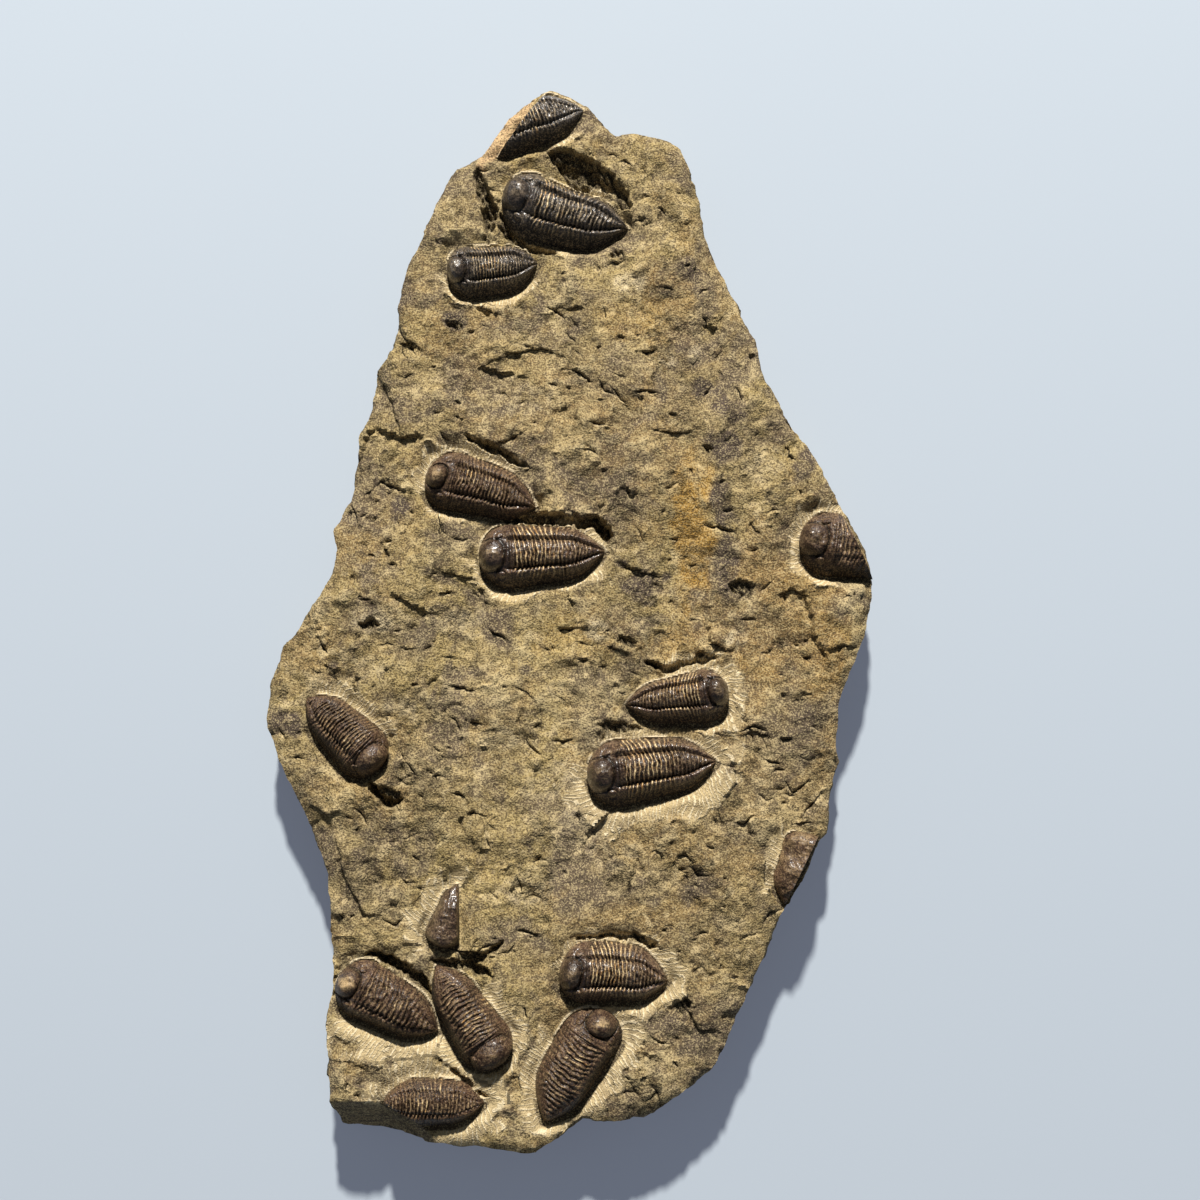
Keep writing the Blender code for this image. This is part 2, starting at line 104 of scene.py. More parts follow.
RIM = (
    (-10, 239.5), (-2, 237), (7.5, 231.5), (14, 222.5), (20, 218), (29, 218.5), (45, 214.5), (50, 210),
    (54, 199), (58, 187), (61, 169), (66, 156), (74, 139), (83, 121), (87, 104), (96, 86), (103, 74),
    (107, 70.5), (113, 60), (119.5, 46.5), (125.5, 36.5), (131.5, 22.5), (135, 10.5), (135, 3),
    (130, -17), (128, -22), (122.5, -34), (119, -46), (117.5, -70), (114, -85), (113, -103),
    (109.5, -105), (107.5, -112), (103, -121), (96, -132), (93.5, -134.5), (86, -151), (82, -160),
    (73, -179.5), (66, -197), (59, -206), (46, -216), (32, -223.5), (18, -226), (5, -224), (0, -228),
    (-6, -233), (-15, -239.5), (-38, -237), (-57, -236), (-79, -232.5), (-100.5, -229.5), (-104, -214),
    (-105, -199), (-106.5, -181), (-103.8, -171), (-104, -156), (-105, -137), (-108, -115.5),
    (-115, -99), (-126, -78), (-131, -66), (-135, -56), (-134, -36), (-129, -22), (-119, -7),
    (-108, 10.5), (-105, 24), (-107, 33), (-99.5, 46), (-97, 65), (-96, 76), (-90, 90), (-88, 106),
    (-81, 117), (-79, 127), (-79, 136), (-76, 152), (-68, 169), (-62, 185), (-56, 198), (-42, 208),
    (-29, 226), (-18, 236),
)  # fmt: skip

# Heading in degrees; taper is how much the body narrows to its tail, groove how deep its rings are; bend in
# mm; each break is a plane, by a place and a direction; head is False where it is lost. Cleft is how deep
# the furrows beside the middle lobe are, pitch how far apart the rings are as a share of the length, dome
# the size of the dome on the head, and scuff how worn that dome is, or the whole of a shell without rings.
Fossil = namedtuple(
    "Fossil",
    "x y heading length width height taper groove shell bend lean breaks head cleft pitch dome scuff",
    defaults=(0.0, 0.0, (), True, 1.0, RING_PITCH, 1.0, 0.35),
)
FOSSILS = (
    Fossil(-21.1, 220.4, 199, 56.5, 26.4, 9.5, 0.1, 0.8, "slate", -3.0, head=False, cleft=0.6,
           breaks=[((-24.2, 220.5), (-0.808, 0.59))]),
    Fossil(-2.9, 181.3, 163.5, 60, 31, 12, 0.15, 0.85, "slate", 3.5, -0.1),
    Fossil(-36.2, 154.5, 186, 42, 25, 10, 0.1, 0.75, "slate", 1.5),
    Fossil(-41, 50.2, 164, 52, 28, 10, 0.15, 0.75, "umber", -1.5, cleft=0.9, dome=0.85, scuff=0.9),
    Fossil(-13, 21.5, 183, 57, 29.5, 11.5, 0.14, 0.85, "golden"),
    Fossil(132, 23.6, 170, 60, 30, 11.5, 0.2, 0.38, "umber", cleft=0.6,
           breaks=[((126.8, 27.8), (0.909, 0.418))]),
    Fossil(47, -43.4, 7, 46.5, 24.5, 10.5, 0.21, 0.75, "golden", -0.5, 0.15),
    Fossil(36, -75, 188, 58, 30, 11.5, 0.15, 0.85, "golden", -1.0, -0.1),
    Fossil(-101.5, -58.6, -44, 46, 25.5, 10, 0.14, 0.6, "umber", 0.5, 0.1, cleft=0.5, pitch=0.035, dome=1.2),
    Fossil(101, -118.6, 63, 33, 25.5, 8, 0.2, 0.0, "umber", scuff=0.3,
           breaks=[((101.4, -118.8), (0.894, -0.45))]),
    Fossil(-53.5, -138.4, 256, 28.5, 17, 7.5, 0.3, 0.0, "golden", scuff=0.12,
           breaks=[((-49.2, -137), (1.0, 0.0))]),
    Fossil(-79.3, -176.3, 152, 49.5, 26.5, 10.5, 0.16, 0.65, "umber", -0.5, cleft=0.5, pitch=0.044,
           scuff=2.2),
    Fossil(-44.7, -180.9, -56, 51, 24.5, 10.5, 0.14, 0.55, "umber", -0.5, cleft=0.15, pitch=0.037, dome=1.4),
    Fossil(19, -165, 177, 48, 27.5, 11, 0.08, 0.85, "golden", -2.5, cleft=0.8, pitch=0.034),
    Fossil(3, -203.3, 58.4, 54.5, 26.5, 10.5, 0.08, 0.6, "umber", 2.5, cleft=0.2, pitch=0.039, scuff=1.1),
    Fossil(-58.9, -217.9, 179, 43.8, 22, 9, 0.1, 0.65, "umber", head=False, cleft=0.5, pitch=0.037,
           breaks=[((-70.9, -223.4), (-0.492, -0.87))]),
)  # fmt: skip
FOOT_STATIONS = (0.0, 0.06, 0.15, 0.28, 0.45, 0.62, 0.76, 0.87, 0.95, 1.0)

# Chiselled pits: the depth, and the outline of the mouth
PITS = (
    (9.0, ((-32, 38), (-23, 40), (-14, 41), (-1, 40), (12, 40), (17, 35), (19, 28), (16, 25), (9, 33),
           (-1, 34), (-14, 34), (-30, 35))),
    (7.0, ((-10, 205), (-4, 208), (4, 207), (9, 203), (15, 198), (18, 192), (17, 186), (12, 188),
           (3, 190), (-3, 194), (-7, 199))),
    (6.0, ((-40, 190), (-36, 187), (-33, 182), (-33, 177), (-37, 173), (-38, 164), (-41, 168), (-42, 180))),
    (8.0, ((-95, -156), (-86, -153), (-78, -155), (-69, -159), (-61, -168), (-56, -176), (-53, -183),
           (-56, -184), (-62, -174), (-69, -168), (-79, -160), (-89, -156.5))),
    (6.0, ((-62, -157), (-54, -156), (-44, -157), (-35, -161), (-33, -165), (-40, -165), (-48, -163),
           (-58, -161))),
    (8.0, ((-91, -79), (-88, -79), (-84, -85), (-78, -88), (-71, -86), (-76, -91), (-82, -92), (-87, -87))),
    (5.5, ((0, -148), (9, -146), (18, -145), (27, -145), (35, -147), (40, -153), (35, -153), (27, -150),
           (16, -148.5), (6, -150))),
    (4.5, ((-51, 77), (-41, 74), (-33, 71), (-25, 66), (-17, 60), (-23, 61), (-32, 65), (-41, 69))),
    (5.0, ((31, -26), (36, -26), (41, -28), (47, -26), (54, -26), (58, -22), (63, -23), (68, -25),
           (56, -29), (50, -30), (43, -33), (37, -31))),
    (6.0, ((-57, -200), (-51, -203), (-46, -206), (-41, -211), (-35, -216), (-39, -216), (-44, -213),
           (-50, -208))),
)  # fmt: skip

# Ragged hollows that are too small for the solid, and how much deeper its pits are worn here
HOLLOWS = (
    (5.5, ((-53, -150), (-47, -153), (-40, -154), (-32, -150), (-28.5, -148), (-30, -153), (-36, -158),
           (-44, -161.5), (-50, -158))),
    (7.0, ((-12.5, 210), (-3, 211), (9, 206.5), (19, 199), (26.5, 189), (28, 180), (22, 181.5), (14, 187),
           (4.5, 191), (-4.5, 197), (-11, 203.5))),
    (5.0, ((-45, 202), (-41.5, 200.5), (-37.5, 190), (-36.5, 180), (-34, 168.5), (-38.5, 170), (-42, 183),
           (-45, 192.5))),
    (4.0, ((-87.5, -83.5), (-82, -82), (-75, -84.5), (-72, -90.5), (-76, -90), (-82, -88.5))),
    (2.5, ((57, 73), (61, 71), (64, 69.5), (62.5, 66.5), (60, 68.5))),
    (4.0, ((69, 8), (77, 11), (83, 6), (80, 1), (72, 2))),
    (3.0, ((-58, 128), (-50, 130), (-47, 126), (-52, 124), (-57, 125))),
    (3.5, ((20, -14), (27, -16), (31, -21), (26, -23), (20, -19))),
    (3.5, ((-96, -10), (-88, -7), (-84, -11), (-90, -14))),
    (3.0, ((44, -176), (50, -172), (55, -178), (49, -183), (44, -180))),
    (4.5, ((6.6, -53.5), (15.5, -52.5), (24.4, -53.6), (33.3, -56), (32.4, -57.8), (24.3, -58.8),
           (17.3, -60.5), (12.9, -62.3), (14.6, -57.8), (8.3, -55.7))),
    (2.5, ((15, 160), (19, 162.5), (23, 161), (20, 157.5), (16, 157.5))),
    (8.5, ((-34, 182), (-33, 171), (-29, 165), (-22.5, 161.5), (-13, 160), (-5, 160), (-11, 163.5),
           (-20, 166), (-26.5, 171.5), (-30.5, 178.5))),
)  # fmt: skip
PIT_WEAR = 2.5

# Ledges: the drop, and the line along which the rock falls away to its right
LEDGES = (
    (2.2, ((-50, 138), (-40, 134), (-31, 131))),
    (1.8, ((-43, 106), (-30, 112), (-14, 116), (-6, 113), (2, 108))),
    (1.8, ((-36, 71), (-26, 74), (-20, 78))), (2.4, ((-62, 15), (-52, 12), (-42, 9), (-38, -1))),
    (2.4, ((20, 18), (31, 13), (41, 11))), (3.0, ((-116, -90), (-108, -94), (-100, -94))),
    (2.6, ((-100, -121), (-94, -131), (-90, -138), (-85, -138))), (2.2, ((74, 1), (79, 5), (84, 10))),
    (2.2, ((91, 2), (98, 5), (107, 1))), (1.8, ((36, 78), (46, 76), (53, 77), (57, 79))),
    (2.6, ((-88, 105), (-81, 90), (-79, 80), (-76, 75))), (2.4, ((-80, 119), (-73, 118), (-67, 114))),
    (2.2, ((113, -22), (121, -20), (128, -21))), (1.6, ((16, -20), (22, -22), (27, -24))),
    (2.6, ((37, -179), (46, -174), (52, -180), (56, -187), (66, -189))),
    (2.0, ((74, -60), (81, -58), (89, -61))),
    (2.6, ((-103.5, -105), (-101.2, -112), (-98.8, -127), (-97, -132.5))),
)  # fmt: skip

# Hairline cracks and the edges of thin flakes
CRACKS = (
    ((-80.5, 130), (-76, 121), (-71, 113)), ((-53, 91), (-50, 89.5)), ((-52.5, 84), (-50, 83)),
    ((-87, 55), (-80, 52), (-74, 49)), ((-99, 45), (-96, 35)), ((65, -71.5), (73, -73.8)),
    ((28, 95.5), (40, 95.5)), ((-3.5, 106), (11, 100)), ((17.5, 99), (25, 90)), ((97, 83.5), (99.5, 78)),
    ((-5.5, -13), (3, -12)), ((-37, -12.5), (-28, -17.5)), ((-71, -37.5), (-67, -37.5)),
    ((-55, -37.5), (-45, -40), (-41, -38.5)), ((-45.5, -53.5), (-38.5, -55)), ((-16.5, -56), (-14, -54.5)),
    ((-72.5, -71.5), (-68.5, -77)), ((-130, -56.5), (-126.5, -61.5)),
    ((-82, -140), (-76, -143), (-72, -138.5)), ((-67, -103), (-75, -106.5)),
    ((-68, -126.5), (-54.5, -124.5), (-49, -126)), ((-53, -153), (-41, -154), (-31.5, -150)),
    ((74, -58), (81, -55), (88, -58)), ((85.5, -69.5), (92, -72.5)), ((94, -79.5), (98, -85), (106, -79.5)),
    ((103, -94), (111, -84)), ((84, -141), (88, -136.5), (93.5, -135)), ((97, -100), (106, -97.5)),
    ((58.5, 35.5), (74.5, 31)), ((-45.5, 140), (-34, 135)),
)  # fmt: skip

# The broken lower left corner lies beyond this line
CORNER = ((-107, -217), (-101, -217.5), (-78, -218), (-71.4, -221), (-64.4, -226), (-60, -230), (-54, -240))

# Patches of colour in the rock: middle, half lengths, turn in degrees and strength
PATCHES = {
    "stain": (
        (-54, 128, 6, 4, -20, 1.0), (54, 152, 8, 5, -35, 0.9), (53, 117, 8, 15, 10, 0.6),
        (66, 91, 17, 5, -38, 1.0), (60, 97, 7, 4, -40, 1.0), (74, 86, 7, 4.5, -38, 1.0),
        (70, 72, 10, 7, -10, 1.1), (67, 43, 5, 11, 0, 1.1), (70, 16, 5, 15, -6, 1.1), (74, 3, 6, 5, 0, 1.0),
        (94, 79, 8, 9, 0, 0.8), (51, 108, 6, 4, 0, 0.8), (18, 71, 8, 6, 0, 0.45), (30, 59, 6, 7, 0, 0.5),
        (82, 6, 5, 4, 0, 0.6), (76, -10, 5, 5, 0, 0.6), (33, 8, 11, 8, 0, 1.0), (23, 17, 3, 2, 0, 1.0),
        (42, 11, 3, 3, 0, 1.0), (35, -0.5, 4, 3, 0, 0.9), (-106, -29, 3, 3, 0, 0.9),
        (-20, -31, 3, 2, 0, 0.9), (-128, -53, 9, 7, 0, 1.1), (57, -125, 7, 6, 0, 0.8),
        (66, -147, 3, 12, 20, 0.5), (54, -182, 14, 10, 0, 0.6), (59, -205, 10, 7, 30, 0.5),
        (-46, 103, 14, 9, 0, 0.6), (-33, 98, 12, 6, 0, 0.5), (22, 103, 12, 10, 0, 0.5),
        (-55, 74, 5, 4, 0, 0.8), (-95, -220, 12, 5, 0, 0.7), (-94, -6, 9, 7, 20, 0.6),
        (-70, -20, 12, 6, 10, 0.5), (66, 205, 3, 4, 0, 0.5), (4, 60, 14, 5, 0, 0.35),
        (12, -60, 7, 9, 0, 0.4), (93, -58, 9, 5, 0, 0.5), (20, -5, 6, 4, 30, 0.6),
        (-107, -112, 6, 12, 15, 0.8), (-80, 143, 7, 9, 0, 0.9), (62, 168, 6, 12, -10, 0.6),
        (96, 30, 6, 12, 0, 0.4), (-58, 11, 12, 3, -22, 0.8), (-43, 1, 9, 3.5, -38, 0.8),
        (-74, 160, 5, 4, 0, 0.5), (-85, 128, 6, 9, 0, 0.5), (-6, -30, 8, 5, 0, 0.4),
        (-32, -13, 8, 9, 0, 0.9), (-11, -91, 14, 6, 0, 0.6), (-77, 42, 6, 6, 0, 1.1),
        # The first of these, at (39, -62), is painted shadow below trilobite_07.
        (39, -62, 14, 2.5, -5, 1.0), (68, -75, 5, 6, 0, 0.8), (105, 62, 5, 9, -20, 1.0),
        (50, 199, 4, 10, 20, 0.8), (-69, 138, 7, 5, 0, 0.7), (31, 64, 6, 5, 0, 0.6), (84, 0, 20, 26, 0, 0.3),
        (60, 92, 18, 22, 0, 0.3), (97, -53, 12, 24, 0, 0.4),
    ),
    "ochre": (
        (55, 33, 9, 32, 0, 1.2), (95, 12, 24, 14, 0, 0.6), (105, -10, 18, 14, 0, 0.5),
        (60, -20, 20, 12, 0, 0.4), (45, 135, 12, 22, 0, 0.45), (4, -16, 22, 10, 0, 0.3),
        (110, -30, 12, 12, 0, 0.5), (30, 130, 18, 10, 0, 0.35), (-80, -60, 10, 12, 0, 0.2),
        (84, -25, 14, 18, 0, 0.4),
    ),
    "pale": (
        (26, 145, 7, 5, 20, 0.9), (44, 112, 4, 4, 0, 0.9), (56, 112, 3, 5, 0, 0.7), (13, -13, 7, 6, 0, 0.9),
        (73, -17, 4, 4, 40, 0.8), (-55, 45, 8, 6, 0, 0.5), (-20, 92, 12, 6, 0, 0.35),
        (-10, -80, 14, 8, 0, 0.4), (-30, -62, 10, 6, 0, 0.4), (-50, -8, 10, 5, 0, 0.4),
        (0, -100, 16, 9, 0, 0.3), (-90, -30, 10, 7, 0, 0.4), (20, -112, 12, 8, 0, 0.3),
        (-18, -125, 12, 9, 0, 0.4), (85, 60, 9, 6, 0, 0.35), (-89, -8, 9, 5, 0, 0.7),
        (-76, -48, 9, 7, 0, 0.5), (18, -175.5, 4, 4, 0, 1.0),
    ),
    "fresh": ((-29.5, 219.5, 5, 20, -36, 1.4),),  # broken lately, beside the topmost fossil
}  # fmt: skip

# Where the face has been dressed with the chisel: beside which fossil, from which bearing round it
# to which in degrees, how far out the strokes run, and how pale they are
STROKES = (
    (1, 270, 350, 6, 0.7), (2, 20, 60, 7, 0.5), (2, 200, 290, 4, 0.5), (3, 180, 350, 6, 0.8),
    (4, 20, 190, 6, 0.7), (4, 190, 330, 4, 0.8), (5, 180, 360, 6, 0.8), (5, 0, 80, 4, 0.8),
    (6, 60, 290, 6, 0.9), (7, -60, 120, 8, 0.7), (8, 170, 400, 12, 0.75), (8, 60, 170, 5, 0.35),
    (9, -10, 130, 6, 0.8), (10, 90, 240, 5, 0.8), (11, 50, 250, 9, 1.0), (12, 190, 340, 16, 1.0),
    (13, -60, 60, 8, 0.9), (13, 190, 300, 12, 0.9), (14, -90, 60, 9, 0.9), (14, 60, 180, 4, 0.8),
    (15, 120, 270, 8, 1.0), (15, 270, 440, 10, 0.9), (16, 40, 190, 9, 0.8), (16, 260, 400, 12, 1.0),
)  # fmt: skip


# --- plan geometry ---


def unit(x):
    """x, but no less than 0 and no more than 1."""
    return np.clip(x, 0, 1)


def smoothstep(x):
    x = unit(x)
    return x * x * (3 - 2 * x)


def ramp(x, start, width):
    """From 0 at start up to 1 over this width; downwards where the width is negative."""
    return smoothstep((x - start) / width)


def bump(x, middle, reach):
    return np.exp(-(((x - middle) / reach) ** 2))


def line_distance(points, line, closed=False):
    """Distance to a line, how far along it is nearest (0 to 1), its side (+ left) and the nearest place."""
    line = np.array(line, float)
    ends = np.roll(line, -1, axis=0) if closed else line[1:]
    starts = line if closed else line[:-1]
    run = ends - starts
    lengths = np.linalg.norm(run, axis=1)
    gone = np.concatenate([[0], np.cumsum(lengths)])
    offset = points[:, None, :] - starts[None]
    along = unit((offset * run).sum(2) / lengths**2)
    away = offset - along[..., None] * run
    distance = np.linalg.norm(away, axis=2)
    nearest = distance.argmin(axis=1)
    rows = np.arange(len(points))
    side = np.sign(run[nearest, 0] * offset[rows, nearest, 1] - run[nearest, 1] * offset[rows, nearest, 0])
    travelled = (gone[nearest] + along[rows, nearest] * lengths[nearest]) / gone[-1]
    return distance[rows, nearest], travelled, side, points - away[rows, nearest]


def signed_distance(points, outline):
    """Distance from each point to a closed outline, negative inside it."""
    distance = line_distance(points, outline, closed=True)[0]
    outline = np.array(outline, float)
    (x0, y0), (x1, y1) = outline.T, np.roll(outline, -1, axis=0).T
    x, y = points[:, :1], points[:, 1:]
    rise = np.where(y1 == y0, 1e-9, y1 - y0)
    crossed = ((y0 > y) != (y1 > y)) & (x < (x1 - x0) * (y - y0) / rise + x0)
    return np.where(crossed.sum(axis=1) % 2 == 1, -distance, distance)


def close_to(points, line, reach):
    """Numbers of the points that lie within reach of the line's bounding box."""
    line = np.array(line, float)
    inside = (points > line.min(axis=0) - reach) & (points < line.max(axis=0) + reach)
    return np.flatnonzero(inside.all(axis=1))


def distance_near(points, outline, reach):
    """As signed_distance, but no more than reach, and quick for a small outline."""
    found = np.full(len(points), float(reach))
    near = close_to(points, outline, reach)
    if len(near):
        found[near] = np.minimum(signed_distance(points[near], outline), reach)
    return found


def rough(points, size, seed):
    """Smooth noise from -1 to 1 at each point."""
    return np.array([noise.noise(Vector((x / size, y / size, seed))) for x, y in points])


def layered(points, size, seed, octaves=4):
    """Noise in several sizes at once, the largest this size."""
    return np.array([noise.fractal((x / size, y / size, seed), 1.0, 2.0, octaves) for x, y in points])


def flaked(points, size, seed, bend):
    """Height of a face broken into tilted facets that meet in small steps."""
    bend_x, bend_y = rough(points, bend, 3.1), rough(points, bend, 7.7)
    heights = []
    for (x, y), dx, dy in zip(points, bend_x, bend_y):
        at = Vector((x / size + 0.35 * dx, y / size + 0.35 * dy, 0))
        middle = noise.voronoi(at + Vector((0, 0, seed)))[1][0]
        tilt = noise.cell_vector(middle * 3.7)
        lean = 2 * (tilt.x - 0.5) * (at.x - middle.x) + 2 * (tilt.y - 0.5) * (at.y - middle.y)
        heights.append(lean + 0.6 * (tilt.z - 0.5))
    return np.array(heights)


def stepped(height, step, softness):
    """Turns smooth slopes into flat treads with short risers between them, like bedding planes."""
    floor = np.floor(height / step)
    part = height / step - floor
    return step * (floor + smoothstep((part - 0.5 + softness) / (2 * softness)))


# --- the trilobites' shape ---


def half_width(fossil, u):
    """Half the body's width at u, mm."""
    reach = HEAD if fossil.head else BLUNTNESS
    front = unit(1 - (1 - u / reach) ** 2) ** (0.5 if fossil.head else 0.7)
    body = 1 - fossil.taper * (u - HEAD) / (TAIL - HEAD)
    end = (1 - fossil.taper) * (1 - unit((u - TAIL) / (1 - TAIL)) ** TAIL_CURVE)
    front = np.where(u < HEAD, front, front * body)
    return np.where(u < reach, front, np.where(u < TAIL, body, end)) * fossil.width / 2


def place(fossil, u, t, height):
    """World place of points of the body, mm, with the body bent and leaning as this one is."""
    along = fossil.length * (0.5 - u)
    across = t * half_width(fossil, u) + fossil.bend * (1 - (2 * u - 1) ** 2) + fossil.lean * height
    turn = math.radians(fossil.heading)
    x = fossil.x + along * math.cos(turn) - across * math.sin(turn)
    y = fossil.y + along * math.sin(turn) + across * math.cos(turn)
    return np.stack([x, y, FACE - BED + height], axis=-1)


def clipped(outline, breaks):
    """A convex-sided outline with everything beyond the break planes cut away."""
    for (px, py), (nx, ny) in breaks:
        beyond = [(x - px) * nx + (y - py) * ny for x, y in outline]
        kept = []
        for i, (here, there) in enumerate(zip(beyond, beyond[1:] + beyond[:1])):
            if here <= 0:
                kept.append(outline[i])
            if here * there < 0:
                (x0, y0), (x1, y1) = outline[i], outline[(i + 1) % len(outline)]
                share = here / (here - there)
                kept.append((x0 + share * (x1 - x0), y0 + share * (y1 - y0)))
        outline = kept
    return outline


def footprint(fossil, grow=0.0, stations=FOOT_STATIONS):
    """Outline of the fossil's base, grown outwards by so many mm."""
    grown = fossil._replace(length=fossil.length + 2 * grow, width=fossil.width + 2 * grow)
    down, back = np.array(stations), np.array(stations[-2:0:-1])
    left = place(grown, down, np.ones(len(down)), 0 * down)[:, :2]
    right = place(grown, back, -np.ones(len(back)), 0 * back)[:, :2]
    outline = [tuple(point) for point in np.concatenate([left, right])]
    breaks = [((x + grow * nx, y + grow * ny), (nx, ny)) for (x, y), (nx, ny) in fossil.breaks]
    return clipped(outline, breaks)


def vault(t, axis, furrow):
    """Height across the body: a raised middle lobe, a furrow on each side of it, and steep flanks."""
    t = np.abs(t)
    middle = furrow + (1 - furrow) * np.sqrt(unit(1 - (t / axis) ** 2))
    side = furrow + (SHOULDER_HEIGHT - furrow) * smoothstep((t - axis) / (SHOULDER - axis))
    fall = (1 - unit((t - SHOULDER) / (1 - SHOULDER)) ** 1.35) ** 0.72
    return np.where(t < axis, middle, np.where(t < SHOULDER, side, SHOULDER_HEIGHT * fall))


def shell_height(fossil, u, t):
    """Height of the shell above its base in mm, a mask of its crests (1) and furrows (0), and its rings."""
    side = np.abs(t)
    wide = half_width(fossil, u)
    spot = np.stack([u * fossil.length, t * wide], axis=-1)
    rise = np.sqrt(unit(1 - unit(1 - u / 0.12) ** 2))
    rise *= 1 - 0.72 * unit((u - 0.55) / 0.45) ** 1.8
    rise *= np.sqrt(unit((1 - u) / 0.05))
    tail = smoothstep((u - PYGIDIUM + 0.03) / (1 - PYGIDIUM))
    axis = AXIS * (1 - 0.42 * tail)
    thorax = vault(t, axis, FURROW - 0.3 * fossil.groove * fossil.cleft) * rise
    plain = fossil.groove == 0
    start = RING_START if fossil.head else 0.04

    # the head: sloping cheeks with a large smooth dome between them
    ahead = (u - GLABELLA) * fossil.length
    along = ahead / (GLABELLA_LONG * fossil.length * np.where(ahead > 0, 0.95, 1))
    dome = np.hypot(along, t * wide / (GLABELLA_WIDE * fossil.width)) / fossil.dome
    cheek = 0.78 * rise * unit(1 - side**2.2) ** 0.75
    neck = ramp(u, 0.17, 0.1)
    cheek = cheek * (1 - neck) + thorax * neck
    raised = 1.05 * np.sqrt(unit(1 - dome**2)) ** 0.85 * rise**0.35
    head = np.maximum(cheek, raised)
    in_head = 0 * u if plain or not fossil.head else smoothstep((start - 0.01 - u) / 0.012)
    full_height = min(fossil.height * HEIGHTEN, TALLEST)
    height = full_height * (thorax * (1 - in_head) + head * in_head)
    seam = np.abs(raised - cheek) / 0.08
    furrow = 0.85 / fossil.dome**2 * bump(seam, 0, 1)
    furrow = furrow * ramp(u, 0.245, -0.04) * ramp(u, 0.02, 0.04) * in_head
    furrow += 0.6 * bump(u, 0.243, 0.007) * ramp(side, 0.6, -0.2) * in_head
    furrow += 0.5 * bump(u, start - 0.008, 0.005) * (in_head.max() > 0)
    eye = np.hypot((u - 0.172) / 0.034, (side - 0.63) / 0.11)
    height += 1.1 * unit(1 - eye**2) ** 0.7 * in_head
    furrow += 0.4 * bump(eye, 1.15, 0.18) * in_head
    height += 0.3 * bump(u, 0.258, 0.012) * in_head
    if plain:
        height = full_height * rise * unit(1 - side**2.2) ** 0.65

    # rings across the middle lobe, and ribs that fan out from them over the flanks
    fan = 0.05 - 0.13 * ramp(u, 0.35, 0.6)
    flank = unit((side - axis) / (1 - axis))
    bow = fan * flank**1.2 - 0.012 * bump(side, 0, 0.3) * (1 - tail)
    ring = (u + bow - start) / fossil.pitch
    ring += 0.4 * rough(spot, 8, fossil.x) + 0.3 * rough(spot, 3, fossil.y) + 0.2 * smoothstep(flank / 0.1)
    wave = 0.5 + 0.5 * np.cos(2 * math.pi * ring)
    number = np.round(ring)
    uneven = 0.9 + 0.35 * np.sin(12.9 * number + fossil.x) * np.sin(4.1 * number)
    worn = 0.85 + 0.9 * rough(spot, 7, fossil.x + 9) + 0.5 * rough(spot, 2.2, fossil.x + 19)
    worn = np.clip(worn + 0.5 * rough(spot, 1.4, fossil.x + 29), 0.1, 1.6)
    ringed = smoothstep((u - start + 0.01) / 0.02)
    fading = 1 - 0.97 * ramp(u, PYGIDIUM, 0.12) * ramp(side, axis, 0.1)
    fading *= 1 - ramp(u, 0.9, 0.08)
    ringed = ringed * fading * (not plain)
    valley = wave**1.15 * ringed
    lobe = 1.1 - 0.5 * fossil.cleft * bump(side, axis, 0.05)
    lobe = lobe - (0.9 - 0.4 * fossil.cleft) * ramp(side, axis, 0.3)
    height -= 1.35 * fossil.groove * valley * lobe * uneven * worn * unit(rise * 1.2)
    knob = bump(side, 0.82 * axis, 0.07) * (1 - wave) * ringed * (1 - tail)
    height += 0.3 * knob
    winding = side + 0.04 * rough(spot, 3.5, fossil.y + 4)
    dip = fossil.cleft * fossil.groove * (0.45 + 0.75 * wave)
    dip = dip * bump(winding, axis, 0.055) * ramp(u, start, 0.03)
    dip *= 1 - ramp(u, 0.93, 0.05)
    dip *= 1 - 0.6 * smoothstep(0.5 + 1.5 * t * math.cos(math.radians(fossil.heading)))
    crest = unit((1 - wave) * ringed + 0.5 * (1 - ringed) - 0.8 * furrow)
    if not plain:
        furrow = furrow + dip
        crest = unit(crest - 0.4 * dip)
    height -= furrow * unit(rise * 1.3)

    firm = unit(height / 1.5)
    dented = layered(spot, 7, fossil.x + 2 * fossil.y, 3)
    worn_down = 0.6 + 0.8 * (fossil.groove < 0.4)
    height += firm * (worn_down * dented + 0.3 * rough(spot, 2.3, 17.5) + 0.16 * rough(spot, 1.0, 3.5))
    height = np.where((side > 0.999) | (u < 0.0005) | (u > 0.9995), 0, np.maximum(height, 0.05))
    ringed = ringed * (1 - (1 - 0.7 * fossil.cleft) * ramp(side, axis, 0.2))
    return height, crest, ringed


# --- mesh helpers ---


def start_grid(name, along, across):
    """A flat grid from -1 to 1 each way, alone in the selection."""
    bpy.ops.object.select_all(action="DESELECT")
    bpy.ops.mesh.primitive_grid_add(x_subdivisions=along, y_subdivisions=across, size=2)
    grid = bpy.context.object
    grid.name = name
    grid.data.name = name
    return grid


def get_points(piece):
    points = np.empty(len(piece.data.vertices) * 3)
    piece.data.vertices.foreach_get("co", points)
    return points.reshape(-1, 3)


def set_points(piece, points):
    piece.data.vertices.foreach_set("co", np.ascontiguousarray(points, float).ravel())
    piece.data.update()


def face_centres(piece):
    centres = np.empty(len(piece.data.polygons) * 3)
    piece.data.polygons.foreach_get("center", centres)
    return centres.reshape(-1, 3)


def edit(mode):
    """Goes into edit mode to work on vertices, edges or faces."""
    bpy.ops.object.mode_set(mode="EDIT")
    bpy.ops.mesh.select_mode(type=mode)


def leave_edit():
    bpy.ops.object.mode_set(mode="OBJECT")


